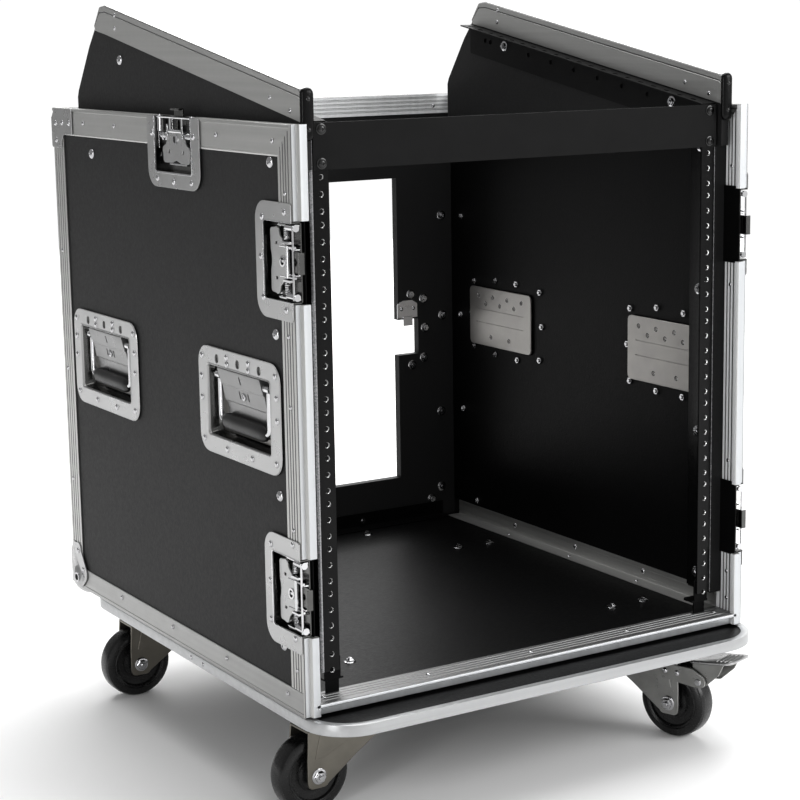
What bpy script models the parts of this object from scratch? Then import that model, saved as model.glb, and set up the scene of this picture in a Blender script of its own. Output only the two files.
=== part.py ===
"""Rolling equipment rack case with a slanted mixer bay on top, 12 rack units inside.

Frame: +X right seen from the front, +Y towards the back, +Z up, metres.  The origin is the
centre of the footprint on the ground.  Everything is laid out in case coordinates first
(x from the middle, y from the front shoulder, z from the case's underside) and `at` moves
those into the world.
"""
import math

import bpy
import bmesh
from mathutils import Matrix, Vector

# Driving dimensions -----------------------------------------------------------------
CASE_WIDTH = 0.546            # over the side trims
CASE_DEPTH = 0.570            # front shoulder to rear trim
CASE_HEIGHT = 0.563           # underside to top rim
CASE_FLOOR_Z = 0.122          # height of the case's underside above the ground
CASE_FRONT_Y = -0.2593        # front shoulder in the world
GAP = 0.0003                  # clearance between touching pieces

WALL = 0.011                  # side wall over its trim
REAR_WALL = 0.014             # rear wall over its trim
SHEET = 0.0010                # trim leg thickness
BAND = 0.030                  # width of a trim band
TONGUE = 0.005                # front tongue that the door closes over
TONGUE_WIDTH = 0.004

RACK_UNIT = 0.04445
RACK_UNITS = 12
RACK_HOLE_X = 0.23255         # EIA-310 hole column, half of 465.1 mm
RACK_HOLE_STEPS = (0.0, 0.015875, 0.03175)
RACK_TOP_HOLE_Z = 0.5569
RAIL_FACE_Y = 0.0165
RAIL_BOTTOM_Z = 0.035

SLANT_OUT = 0.256             # outer face of a slant panel's cap
SLANT_IN = 0.244
SLANT_LOW = 0.520             # hidden lower edge of the slant panels
CAP_TOP = ((0.010, 0.594), (0.448, 0.676), (0.463, 0.674), (0.481, 0.650))
CAP_LOW_FRONT = (0.010, 0.5635)

HANDLE_Z = 0.283
HANDLE_Y = {"front": 0.1175, "rear": 0.443}
HANDLE_PLATE = (0.174, 0.109)
HANDLE_TRAY = (0.133, 0.071)
HANDLE_PIVOT_RISE = 0.026

LATCH_Z = {"upper": 0.4365, "lower": 0.1175}
LATCH_TOP_Y = 0.2465
TRAY_BACK = 0.2633            # inner face of the latch trays

BOARD_TOP = -0.0015
BOARD_LOW = -0.013
BOARD_X = 0.272
BOARD_FRONT = -0.044
BOARD_REAR = 0.534
BOARD_CORNER = 0.050

WHEEL_R = 0.040
WHEEL_W = 0.026
TRAIL = 0.045                 # swivel axis to axle
CASTER_X = 0.190
CASTER_Y = {"front": 0.067, "rear": 0.487}
CASTER_HEADING = {            # direction from swivel axis to axle, degrees about +Z
    "front_left": 183.0,
    "rear_left": 180.0,
    "front_right": -72.0,
    "rear_right": 160.0,
}
PEDAL_PIVOT = (0.039, 0.032)  # ahead of and above the axle

HALF = CASE_WIDTH / 2
PANEL_OUT = HALF - SHEET - GAP
PANEL_IN = HALF - WALL + SHEET + GAP
AXLE_Z = WHEEL_R - CASE_FLOOR_Z
SIDES = (("left", -1.0), ("right", 1.0))


# Small helpers ----------------------------------------------------------------------
def clear_scene():
    for obj in list(bpy.data.objects):
        bpy.data.objects.remove(obj)


def at(x, y, z):
    """World position of a point given in case coordinates."""
    return Vector((x, y + CASE_FRONT_Y, z + CASE_FLOOR_Z))


def material(name, color, roughness, metallic):
    found = bpy.data.materials.get(name)
    if found:
        return found
    made = bpy.data.materials.new(name)
    made.use_nodes = True
    shader = made.node_tree.nodes["Principled BSDF"]
    shader.inputs["Base Color"].default_value = (*color, 1.0)
    shader.inputs["Roughness"].default_value = roughness
    shader.inputs["Metallic"].default_value = metallic
    made.diffuse_color = (*color, 1.0)
    return made


def laminate():
    return material("black_laminate", (0.030, 0.030, 0.032), 0.45, 0.0)


def aluminium():
    return material("aluminium_trim", (0.72, 0.73, 0.74), 0.32, 1.0)


def black_steel():
    return material("black_steel", (0.012, 0.012, 0.013), 0.40, 0.0)


def chrome():
    return material("chrome", (0.82, 0.83, 0.85), 0.12, 1.0)


def zinc():
    return material("zinc_steel", (0.42, 0.42, 0.40), 0.38, 1.0)


def rubber():
    return material("black_rubber", (0.014, 0.014, 0.014), 0.60, 0.0)


def hub_plastic():
    return material("wheel_black", (0.010, 0.010, 0.011), 0.35, 0.0)


def solid(name, bm, look, origin=(0.0, 0.0, 0.0), smooth=False):
    """Object from a bmesh laid out in case coordinates, with its own origin point."""
    bmesh.ops.recalc_face_normals(bm, faces=bm.faces)
    bmesh.ops.translate(bm, verts=bm.verts, vec=-Vector(origin))
    mesh = bpy.data.meshes.new(name)
    bm.to_mesh(mesh)
    bm.free()
    mesh.materials.append(look)
    if smooth:
        mesh.shade_smooth()
        mesh.set_sharp_from_angle(angle=math.radians(35))
    obj = bpy.data.objects.new(name, mesh)
    obj.location = at(*origin)
    bpy.context.scene.collection.objects.link(obj)
    return obj


def tool(obj):
    obj.hide_render = True
    obj.display_type = "WIRE"
    return obj


def boolean(obj, other, operation):
    mod = obj.modifiers.new(other.name, "BOOLEAN")
    mod.operation = operation
    mod.solver = "EXACT"
    mod.object = tool(other)


def cut(obj, *others):
    for other in others:
        boolean(obj, other, "DIFFERENCE")


def join(obj, *others):
    for other in others:
        boolean(obj, other, "UNION")


def add_prism(bm, outline, axis, low, high):
    """Close an outline given in the other two axes' order and extrude it along axis."""
    def point(u, v, w):
        order = {"x": (w, u, v), "y": (u, w, v), "z": (u, v, w)}
        return order[axis]
    ring = [bm.verts.new(point(u, v, low)) for u, v in outline]
    far = [bm.verts.new(point(u, v, high)) for u, v in outline]
    count = len(outline)
    bm.faces.new(ring)
    bm.faces.new(far)
    for i in range(count):
        j = (i + 1) % count
        bm.faces.new((ring[i], ring[j], far[j], far[i]))


def prism(name, look, outline, axis, low, high, origin=(0.0, 0.0, 0.0)):
    bm = bmesh.new()
    add_prism(bm, outline, axis, low, high)
    return solid(name, bm, look, origin)


def rect(u0, u1, v0, v1):
    return [(u0, v0), (u1, v0), (u1, v1), (u0, v1)]


def chamfered(u, v, width, height, corner):
    """Rectangle with cut corners, centred on u, v."""
    a = width / 2
    b = height / 2
    return [(u - a + corner, v - b), (u + a - corner, v - b), (u + a, v - b + corner),
            (u + a, v + b - corner), (u + a - corner, v + b), (u - a + corner, v + b),
            (u - a, v + b - corner), (u - a, v - b + corner)]


def box(name, look, x, y, z, origin=(0.0, 0.0, 0.0)):
    return prism(name, look, rect(*sorted(x), *sorted(y)), "z", *sorted(z), origin)


def block(name, x, y, z):
    """Box used only as a Boolean operand."""
    return box(name, black_steel(), x, y, z)


def cylinder(name, look, center, direction, radius, length, segments=16):
    """Cylinder centred on a point, along a unit direction."""
    bm = bmesh.new()
    bmesh.ops.create_cone(bm, cap_ends=True, segments=segments, radius1=radius,
                          radius2=radius, depth=length)
    turn = Vector((0, 0, 1)).rotation_difference(Vector(direction)).to_matrix()
    bmesh.ops.transform(bm, matrix=turn.to_4x4(), verts=bm.verts)
    bmesh.ops.translate(bm, verts=bm.verts, vec=center)
    return solid(name, bm, look)


def swept(name, look, profile, path, closed=False):
    """Sweep profile points along a path; path gives a point for each (station, d, z)."""
    bm = bmesh.new()
    rings = [[bm.verts.new(station(d, z)) for d, z in profile] for station in path]
    count = len(profile)
    pairs = list(zip(rings, rings[1:]))
    if closed:
        pairs.append((rings[-1], rings[0]))
    else:
        bm.faces.new(rings[0])
        bm.faces.new(rings[-1])
    for first, second in pairs:
        for i in range(count):
            j = (i + 1) % count
            bm.faces.new((first[i], first[j], second[j], second[i]))
    return solid(name, bm, look)


# Panels -----------------------------------------------------------------------------
def handle_openings(side, s):
    for place, y in HANDLE_Y.items():
        reach_y = HANDLE_TRAY[0] / 2 + 0.0018
        reach_z = HANDLE_TRAY[1] / 2 + 0.0018
        yield block(f"cut_handle_{place}_{side}", (s * 0.25, s * 0.28),
                    (y - reach_y, y + reach_y), (HANDLE_Z - reach_z, HANDLE_Z + reach_z))


def front_notches(side, s, inner, deep=0.0570):
    """Clearance for the two front latch trays, from |x| = inner outwards."""
    for place, z in LATCH_Z.items():
        yield block(f"cut_latch_{place}_{side}_{inner:.4f}", (s * inner, s * 0.29),
                    (-0.02, deep), (z - 0.0382, z + 0.0382))


def top_notch(side, s):
    """Clearance for the top latch tray."""
    return block(f"cut_latch_top_{side}", (s * (TRAY_BACK - GAP), s * 0.29),
                 (LATCH_TOP_Y - 0.0442, LATCH_TOP_Y + 0.0442), (CASE_HEIGHT - 0.0595, 0.58))


def side_panel(side, s):
    panel = box(f"side_panel_{side}", laminate(), (s * PANEL_IN, s * PANEL_OUT),
                (SHEET + 0.0008, CASE_DEPTH - SHEET - 0.0006),
                (SHEET + GAP, CASE_HEIGHT - SHEET - GAP))
    rail_batten = block(f"rail_batten_{side}", (s * 0.2475, s * (PANEL_IN + 0.0003)),
                        (0.0228, 0.060), (0.031, SLANT_LOW - 0.0006))
    upper_batten = block(f"upper_batten_{side}",
                         (s * (SLANT_OUT - 0.0009), s * (PANEL_IN + 0.0003)),
                         (0.070, 0.510), (SLANT_LOW + 0.001, 0.536))
    join(panel, rail_batten, upper_batten)
    cut(panel, *handle_openings(side, s), *front_notches(side, s, TRAY_BACK - GAP),
        top_notch(side, s))


def rear_panel():
    inner = CASE_DEPTH - REAR_WALL * (1 - SHEET / WALL) + GAP + 0.0003
    panel = box("rear_panel", laminate(), (-PANEL_IN + GAP, PANEL_IN - GAP),
                (inner, CASE_DEPTH - 0.0016), (SHEET + GAP, CASE_HEIGHT - SHEET - GAP))
    window = block("cut_window", (-0.180, 0.180), (0.5, 0.6), (0.069, 0.458))
    notch = block("cut_window_notches", (-0.210, 0.210), (0.5, 0.6), (0.230, 0.276))
    cut(panel, window, notch)


def floor_panel():
    reach = HALF - WALL - GAP
    box("floor_panel", laminate(), (-reach, reach),
        (SHEET + 0.0008, CASE_DEPTH - REAR_WALL - 0.0003), (SHEET + GAP, 0.0107))


# Aluminium trims --------------------------------------------------------------------
def front_trim(side, s):
    inner = HALF - WALL
    outline = [(HALF, 0), (HALF, BAND), (HALF - SHEET, BAND), (HALF - SHEET, 0.0015),
               (inner + SHEET, 0.0015), (inner + SHEET, 0.022), (inner, 0.022),
               (inner, -TONGUE), (inner + TONGUE_WIDTH, -TONGUE), (inner + TONGUE_WIDTH, 0)]
    trim = prism(f"front_trim_{side}", aluminium(), [(s * x, y) for x, y in outline],
                 "z", 0.0, CASE_HEIGHT)
    cut(trim, *front_notches(side, s, TRAY_BACK - GAP), *front_notches(side, s, 0.25, 0.0012))


def front_trim_bottom():
    outline = [(0, 0), (BAND, 0), (BAND, SHEET), (0.0015, SHEET), (0.0015, 0.011),
               (0.028, 0.011), (0.028, 0.012), (-TONGUE, 0.012), (-TONGUE, 0.008), (0, 0.008)]
    reach = HALF - WALL - GAP
    prism("front_trim_bottom", aluminium(), outline, "x", -reach, reach)


def rim_path(start_y):
    """Stations of a rim that runs left side, rear, right side; d is the depth inwards."""
    rear = REAR_WALL / WALL
    return [
        lambda d, z: (-HALF + d, start_y, z),
        lambda d, z: (-HALF + d, CASE_DEPTH - rear * d, z),
        lambda d, z: (HALF - d, CASE_DEPTH - rear * d, z),
        lambda d, z: (HALF - d, start_y, z),
    ]


def corner_brace(side, s):
    """Plate folded round the rear top corner, held by rivets through the top trim."""
    bm = bmesh.new()
    outside = HALF + GAP
    low, high = 0.517, CASE_HEIGHT
    add_prism(bm, [(s * outside, 0.510), (s * (outside + 0.0012), 0.510),
                   (s * (outside + 0.0012), 0.5715), (s * 0.215, 0.5715),
                   (s * 0.215, 0.5703), (s * outside, 0.5703)], "z", low, high)
    plate = solid(f"brace_{side}", bm, chrome())
    pins = [cylinder(f"brace_rivet_{side}_{i}", chrome(), (s * 0.2736, y, z), (1, 0, 0),
                     0.0022, 0.0034, 8)
            for i, (y, z) in enumerate(((0.520, 0.547), (0.558, 0.547)))]
    return [plate, *pins]


def top_trim():
    profile = [(0, 0.533), (0, CASE_HEIGHT), (WALL, CASE_HEIGHT), (WALL, 0.538),
               (WALL - SHEET, 0.538), (WALL - SHEET, CASE_HEIGHT - SHEET),
               (SHEET, CASE_HEIGHT - SHEET), (SHEET, 0.533)]
    trim = swept("top_trim", aluminium(), profile, rim_path(BAND + GAP))
    for side, s in SIDES:
        cut(trim, top_notch(side, s))
        join(trim, *corner_brace(side, s))


def ball_corner(side, s):
    """Steel ball corner outside the rear bottom corner, riveted to the bottom trim."""
    center = (s * 0.257, 0.554, 0.011)
    bm = bmesh.new()
    bmesh.ops.create_uvsphere(bm, u_segments=16, v_segments=10, radius=0.022)
    bmesh.ops.translate(bm, verts=bm.verts, vec=center)
    ball = solid(f"ball_{side}", bm, chrome())
    flange = block(f"ball_flange_{side}", (s * 0.262, s * (HALF + 0.0014)),
                   (0.534, 0.5714), (0.002, 0.054))
    join(ball, flange)
    cut(ball, block(f"ball_inside_{side}", (s * 0.2, s * (HALF + GAP)),
                    (0.5, CASE_DEPTH + GAP), (-GAP, 0.1)))
    pin = cylinder(f"ball_rivet_{side}", chrome(), (s * 0.2736, 0.548, 0.015), (1, 0, 0),
                   0.0022, 0.0034, 8)
    return [ball, pin]


def bottom_trim():
    profile = [(0, 0), (0, 0.024), (SHEET, 0.024), (SHEET, SHEET), (0.028, SHEET), (0.028, 0)]
    trim = swept("bottom_trim", aluminium(), profile, rim_path(BAND + GAP))
    for side, s in SIDES:
        join(trim, *ball_corner(side, s))


def rear_trim(side, s):
    face = SHEET * REAR_WALL / WALL
    outline = [(HALF, 0.540), (HALF, CASE_DEPTH), (0.243, CASE_DEPTH),
               (0.243, CASE_DEPTH - face), (HALF - SHEET, CASE_DEPTH - face),
               (HALF - SHEET, 0.540)]
    prism(f"rear_trim_{side}", aluminium(), [(s * x, y) for x, y in outline],
          "z", 0.024 + GAP, 0.533 - GAP)


def floor_angle(side, s):
    high = PANEL_IN - GAP
    outline = [(high, 0.011), (high, 0.030), (high - SHEET, 0.030), (high - SHEET, 0.012),
               (0.2445, 0.012), (0.2445, 0.011)]
    prism(f"floor_angle_{side}", aluminium(), [(s * x, z) for x, z in outline],
          "y", BAND + GAP, 0.545)


# Mixer bay --------------------------------------------------------------------------
def slant_panel(side, s):
    drop = 0.0018
    outline = [(0.0105, SLANT_LOW), (0.0105, 0.594 - drop), (0.4475, 0.676 - drop),
               (0.4620, 0.674 - drop), (0.4795, 0.650), (0.497, 0.631), (0.533, 0.582),
               (0.536, 0.575), (0.536, SLANT_LOW)]
    prism(f"slant_panel_{side}", laminate(), outline, "x", *sorted((s * 0.2453, s * 0.2547)))


def slant_cap(side, s):
    outline = [CAP_LOW_FRONT, *CAP_TOP]
    cap = prism(f"slant_cap_{side}", aluminium(), outline, "x",
                *sorted((s * SLANT_IN, s * SLANT_OUT)))
    drop = 0.0015
    slot = [(-0.01, 0.5), (-0.01, 0.594 - drop - 0.00374), (0.448, 0.676 - drop),
            (0.463, 0.674 - drop), (0.50, 0.6247 - drop), (0.50, 0.5)]
    cut(cap, prism(f"cut_slant_cap_{side}", black_steel(), slot, "x",
                   *sorted((s * (SLANT_IN + SHEET), s * (SLANT_OUT - SHEET)))))


def mixer_rail(side, s):
    """Angle under the cap: a flange down the panel and one inwards along the slope."""
    slope = (0.650 - 0.565) / (0.481 - 0.020)
    front, back = 0.0188, 0.490
    height, thick = 0.035, 0.0015

    def line(y):
        return 0.5645 + slope * (y - 0.020)

    web = [(front, line(front) - height), (back - 0.012, line(back - 0.012) - height),
           (back - 0.012, line(back - 0.012)), (front, line(front))]
    top = [(front, line(front) - thick), (back, line(back) - thick), (back, line(back)),
           (front, line(front))]
    rail = prism(f"mixer_rail_{side}", black_steel(), web, "x",
                 *sorted((s * 0.2422, s * 0.2437)))
    flange = prism(f"mixer_flange_{side}", black_steel(), top, "x",
                   *sorted((s * 0.2250, s * 0.2437)))
    join(rail, flange)


# Rack -------------------------------------------------------------------------------
def rack_hole_heights():
    for unit in range(RACK_UNITS):
        for step in RACK_HOLE_STEPS:
            yield RACK_TOP_HOLE_Z - unit * RACK_UNIT - step


def rack_rail(side, s):
    face = RAIL_FACE_Y
    outline = [(0.2240, face), (0.2442, face), (0.2442, 0.056), (0.2422, 0.056),
               (0.2422, face + 0.002), (0.2240, face + 0.002)]
    rail = prism(f"rack_rail_{side}", black_steel(), [(s * x, y) for x, y in outline],
                 "z", RAIL_BOTTOM_Z, CASE_HEIGHT)
    cut(rail, block(f"cut_rail_top_{side}", (s * 0.2421, s * 0.25), (0.0186, 0.06),
                    (0.5285, 0.58)))
    bm = bmesh.new()
    turn = Matrix.Rotation(math.radians(90), 4, "X")
    for z in rack_hole_heights():
        place = Matrix.Translation((s * RACK_HOLE_X, face + 0.001, z)) @ turn
        bmesh.ops.create_cone(bm, cap_ends=True, segments=6, radius1=0.003, radius2=0.003,
                              depth=0.006, matrix=place)
    cut(rail, solid(f"cut_rack_holes_{side}", bm, black_steel()))


def blank_panel():
    box("blank_panel", black_steel(), (-0.2413, 0.2413), (0.0145, RAIL_FACE_Y - GAP),
        (0.5191, 0.5628))


# Recessed handles -------------------------------------------------------------------
def handle_tray(name, s, y):
    plate_in = PANEL_OUT + GAP
    plate = prism(name, chrome(), chamfered(y, HANDLE_Z, *HANDLE_PLATE, 0.020), "x",
                  *sorted((s * plate_in, s * (plate_in + 0.0012))))
    half_y, half_z = HANDLE_TRAY[0] / 2, HANDLE_TRAY[1] / 2
    shell = 0.0012
    bottom = 0.2595
    join(plate, block(f"{name}_shell", (s * bottom, s * (plate_in + 0.0006)),
                      (y - half_y - shell, y + half_y + shell),
                      (HANDLE_Z - half_z - shell, HANDLE_Z + half_z + shell)))
    cut(plate, block(f"{name}_hollow", (s * (bottom + shell), s * 0.28),
                     (y - half_y, y + half_y), (HANDLE_Z - half_z, HANDLE_Z + half_z)))


def handle_bail(name, s, y):
    """Two flat arms from the pivot down to a round rubber grip."""
    mid_x = s * 0.2666
    pivot = (mid_x, y, HANDLE_Z + HANDLE_PIVOT_RISE)
    grip_z = HANDLE_Z - 0.020
    grip = cylinder(name, rubber(), (mid_x, y, grip_z), (0, 1, 0), 0.0052, 0.106, 12)
    grip.data.transform(Matrix.Translation(grip.location - at(*pivot)))
    grip.location = at(*pivot)
    for i, offset in enumerate((-0.052, 0.052)):
        arm = block(f"{name}_arm_{i}", (mid_x - 0.0028, mid_x + 0.0028),
                    (y + offset - 0.003, y + offset + 0.003), (grip_z - 0.003, pivot[2] + 0.003))
        join(grip, arm)
    join(grip, cylinder(f"{name}_pin", chrome(), pivot, (0, 1, 0), 0.0025, 0.128, 8))


# Butterfly latches ------------------------------------------------------------------
def latch_frames():
    """Each latch as (name, s, edge point, outward-from-edge axis, along-edge axis)."""
    for side, s in SIDES:
        for place, z in LATCH_Z.items():
            yield f"{place}_{side}", s, Vector((0, 0, z)), Vector((0, 1, 0)), Vector((0, 0, 1))
        yield (f"top_{side}", s, Vector((0, LATCH_TOP_Y, CASE_HEIGHT)), Vector((0, 0, -1)),
               Vector((0, 1, 0)))


def latch_block(name, look, s, frame, x, a, b):
    """Box given by |x| range, depth range a from the edge and range b along the edge."""
    edge, inward, along = frame
    p = edge + inward * a[0] + along * b[0]
    q = edge + inward * a[1] + along * b[1]
    return box(name, look, (s * x[0], s * x[1]), (p.y, q.y), (p.z, q.z))


def latch_outline(frame, points):
    edge, inward, along = frame
    flat = [edge + inward * a + along * b for a, b in points]
    return [(p.y, p.z) for p in flat]


def latch_tray(name, s, frame, depth, half):
    """Cover plate with a tray let into the wall, open at the case's edge."""
    start = 0.0002
    reach = depth + 0.0145
    half_plate = half + 0.0175
    corner = 0.018
    outline = [(start, -half_plate), (reach - corner, -half_plate), (reach, -half_plate + corner),
               (reach, half_plate - corner), (reach - corner, half_plate), (start, half_plate)]
    outside = HALF + GAP
    plate = prism(f"latch_tray_{name}", chrome(), latch_outline(frame, outline), "x",
                  *sorted((s * outside, s * (outside + 0.0012))))
    shell = 0.0012
    join(plate, latch_block(f"tray_shell_{name}", chrome(), s, frame,
                            (TRAY_BACK, outside + 0.0006), (start, depth), (-half, half)))
    cut(plate, latch_block(f"tray_hollow_{name}", chrome(), s, frame,
                           (TRAY_BACK + shell, 0.29), (-0.01, depth - shell),
                           (-half + shell, half - shell)))


LATCH_PIVOT_DEPTH = 0.0155
LATCH_PIVOT_X = 0.2700


def latch_wing(name, s, frame):
    """Butterfly wing that folds up from the tray about a pin along the case's edge."""
    points = [(0.0133, -0.012), (0.0133, 0.012), (0.022, 0.020), (0.034, 0.029),
              (0.043, 0.029), (0.046, 0.024), (0.046, -0.024), (0.043, -0.029),
              (0.034, -0.029), (0.022, -0.020)]
    edge, inward, along = frame
    pivot = edge + inward * LATCH_PIVOT_DEPTH
    origin = (s * LATCH_PIVOT_X, pivot.y, pivot.z)
    outline = latch_outline(frame, points)
    wing = prism(f"latch_wing_{name}", chrome(), outline, "x",
                 *sorted((s * (LATCH_PIVOT_X - 0.0008), s * (LATCH_PIVOT_X + 0.0008))), origin)
    join(wing, cylinder(f"wing_pin_{name}", chrome(), origin, along, 0.0022, 0.030, 8))


def latch_hook(name, s, frame):
    """Draw hook that reaches past the edge to catch a lid or a door."""
    hook = latch_block(f"latch_hook_{name}", chrome(), s, frame, (0.2652, 0.2670),
                       (-0.008, 0.030), (-0.010, 0.010))
    join(hook, latch_block(f"hook_lip_{name}", chrome(), s, frame, (0.2652, 0.2715),
                           (-0.008, -0.0055), (-0.010, 0.010)))


# Caster board and casters -----------------------------------------------------------
def rounded_path():
    """Corner stations of the board's outline; d is the depth inwards."""
    steps = 8
    centers = ((BOARD_X - BOARD_CORNER, BOARD_REAR - BOARD_CORNER, 0),
               (-BOARD_X + BOARD_CORNER, BOARD_REAR - BOARD_CORNER, 90),
               (-BOARD_X + BOARD_CORNER, BOARD_FRONT + BOARD_CORNER, 180),
               (BOARD_X - BOARD_CORNER, BOARD_FRONT + BOARD_CORNER, 270))
    for cx, cy, start in centers:
        for i in range(steps + 1):
            angle = math.radians(start + 90 * i / steps)
            yield cx, cy, math.cos(angle), math.sin(angle)


def board_station(cx, cy, c, s):
    return lambda d, z: (cx + (BOARD_CORNER - d) * c, cy + (BOARD_CORNER - d) * s, z)


def caster_places():
    for side, s in SIDES:
        for place, y in CASTER_Y.items():
            name = f"{place}_{side}"
            yield name, s * CASTER_X, y, math.radians(CASTER_HEADING[name]), side == "right"


def caster_board():
    stations = [board_station(*corner) for corner in rounded_path()]
    outline = [station(0.0015, 0.0)[:2] for station in stations]
    board = prism("caster_board", laminate(), outline, "z", BOARD_LOW, BOARD_TOP - 0.0013)
    for name, x, y, _, _ in caster_places():
        join(board, block(f"caster_plate_{name}", (x - 0.046, x + 0.046),
                          (y - 0.033, y + 0.033), (BOARD_LOW - 0.003, BOARD_LOW + 0.001)))
    profile = [(0, BOARD_LOW), (0, BOARD_TOP), (0.008, BOARD_TOP), (0.008, BOARD_TOP - SHEET),
               (0.0012, BOARD_TOP - SHEET), (0.0012, BOARD_LOW)]
    swept("caster_board_trim", aluminium(), profile, stations, closed=True)


def turned(obj, x, y, heading):
    """Turn an object, laid out for heading 0 with its swivel on the z axis, into place."""
    offset = obj.location - at(0, 0, 0)
    turn = Matrix.Rotation(heading, 4, "Z")
    obj.location = at(x, y, 0) + turn @ offset
    obj.rotation_euler = (0.0, 0.0, heading)
    return obj


def caster_fork(name, x, y, heading, braked):
    """Crown, two legs and the axle bolt; laid out with the wheel ahead of the swivel."""
    u = TRAIL
    legs = [(u + 0.000, 0.0485), (u + 0.011, -0.008), (u + 0.006, -0.015),
            (u - 0.006, -0.015), (u - 0.013, -0.012), (u - 0.049, 0.018),
            (u - 0.085, 0.046), (u - 0.085, 0.0485)]
    fork = prism(f"caster_fork_{name}", zinc(), [(p, AXLE_Z + q) for p, q in legs], "y",
                 -0.018, 0.018)
    inside = [block(f"cut_fork_{name}", (-0.1, 0.1), (-0.0155, 0.0155),
                    (AXLE_Z - 0.03, AXLE_Z + 0.046))]
    parts = [cylinder(f"raceway_{name}", zinc(), (0, 0, -0.0252), (0, 0, 1), 0.024, 0.0178, 20),
             cylinder(f"axle_{name}", zinc(), (u, 0, AXLE_Z), (0, 1, 0), 0.0042, 0.046, 12)]
    if braked:
        for i, w in enumerate((-1.0, 1.0)):
            parts.append(block(f"brake_arm_{name}_{i}", (u - 0.008, u + 0.045),
                               sorted((w * 0.0179, w * 0.0204)),
                               (AXLE_Z + 0.0275, AXLE_Z + 0.046)))
        parts.append(cylinder(f"brake_pin_{name}", zinc(),
                              (u + PEDAL_PIVOT[0], 0, AXLE_Z + PEDAL_PIVOT[1]), (0, 1, 0),
                              0.0022, 0.044, 8))
    cut(fork, *inside)
    join(fork, *parts)
    for operand in (*inside, *parts):
        turned(operand, x, y, heading)
    turned(fork, x, y, heading)


def caster_wheel(name, x, y, heading):
    """Solid wheel turned about its axle, with a recessed web and a bore."""
    half = WHEEL_W / 2
    bore = 0.0046
    profile = [(bore, -half), (0.010, -half), (0.013, -half + 0.004), (0.027, -half + 0.004),
               (0.030, -half + 0.001), (WHEEL_R - 0.003, -half + 0.001),
               (WHEEL_R, -half + 0.005)]
    profile += [(r, -w) for r, w in reversed(profile)]
    segments = 32
    bm = bmesh.new()
    rings = []
    for i in range(segments):
        angle = 2 * math.pi * i / segments
        rings.append([bm.verts.new((TRAIL + r * math.cos(angle), w,
                                    AXLE_Z + r * math.sin(angle))) for r, w in profile])
    for i, ring in enumerate(rings):
        after = rings[(i + 1) % segments]
        for j in range(len(profile)):
            k = (j + 1) % len(profile)
            bm.faces.new((ring[j], ring[k], after[k], after[j]))
    wheel = solid(f"caster_wheel_{name}", bm, hub_plastic(), (TRAIL, 0, AXLE_Z), smooth=True)
    turned(wheel, x, y, heading)


def brake_pedal(name, x, y, heading):
    """Pedal plate on two cheeks that turn on the brake pin."""
    u, z = TRAIL, AXLE_Z
    cheeks = [(u + 0.030, z + 0.036), (u + 0.039, z + 0.0255), (u + 0.048, z + 0.027),
              (u + 0.065, z + 0.044), (u + 0.070, z + 0.053), (u + 0.030, z + 0.053)]
    pivot = (u + PEDAL_PIVOT[0], 0, z + PEDAL_PIVOT[1])
    pedal = prism(f"brake_pedal_{name}", zinc(), cheeks, "y", -0.0172, 0.0172, pivot)
    inside = block(f"cut_pedal_{name}", (u, u + 0.1), (-0.0150, 0.0150), (z, z + 0.0515))
    bore = cylinder(f"pedal_bore_{name}", zinc(), pivot, (0, 1, 0), 0.0026, 0.05, 12)
    plate = prism(f"pedal_plate_{name}", zinc(),
                  [(u + 0.026, z + 0.0515), (u + 0.079, z + 0.0585), (u + 0.079, z + 0.0605),
                   (u + 0.026, z + 0.0535)], "y", -0.021, 0.021)
    cut(pedal, inside, bore)
    join(pedal, plate)
    for piece in (pedal, inside, bore, plate):
        turned(piece, x, y, heading)


def build():
    clear_scene()
    rear_panel()
    floor_panel()
    front_trim_bottom()
    top_trim()
    bottom_trim()
    blank_panel()
    caster_board()
    for side, s in SIDES:
        side_panel(side, s)
        front_trim(side, s)
        rear_trim(side, s)
        floor_angle(side, s)
        slant_panel(side, s)
        slant_cap(side, s)
        mixer_rail(side, s)
        rack_rail(side, s)
        for place, y in HANDLE_Y.items():
            handle_tray(f"handle_tray_{place}_{side}", s, y)
            handle_bail(f"handle_bail_{place}_{side}", s, y)
    for name, s, *frame in latch_frames():
        top = name.startswith("top")
        latch_tray(name, s, frame, 0.0585 if top else 0.0560, 0.0438 if top else 0.0378)
        latch_wing(name, s, frame)
        latch_hook(name, s, frame)
    for name, x, y, heading, braked in caster_places():
        caster_fork(name, x, y, heading, braked)
        caster_wheel(name, x, y, heading)
        if braked:
            brake_pedal(name, x, y, heading)


build()
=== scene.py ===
import math

import bpy
import bmesh
from mathutils import Matrix, Vector


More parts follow.
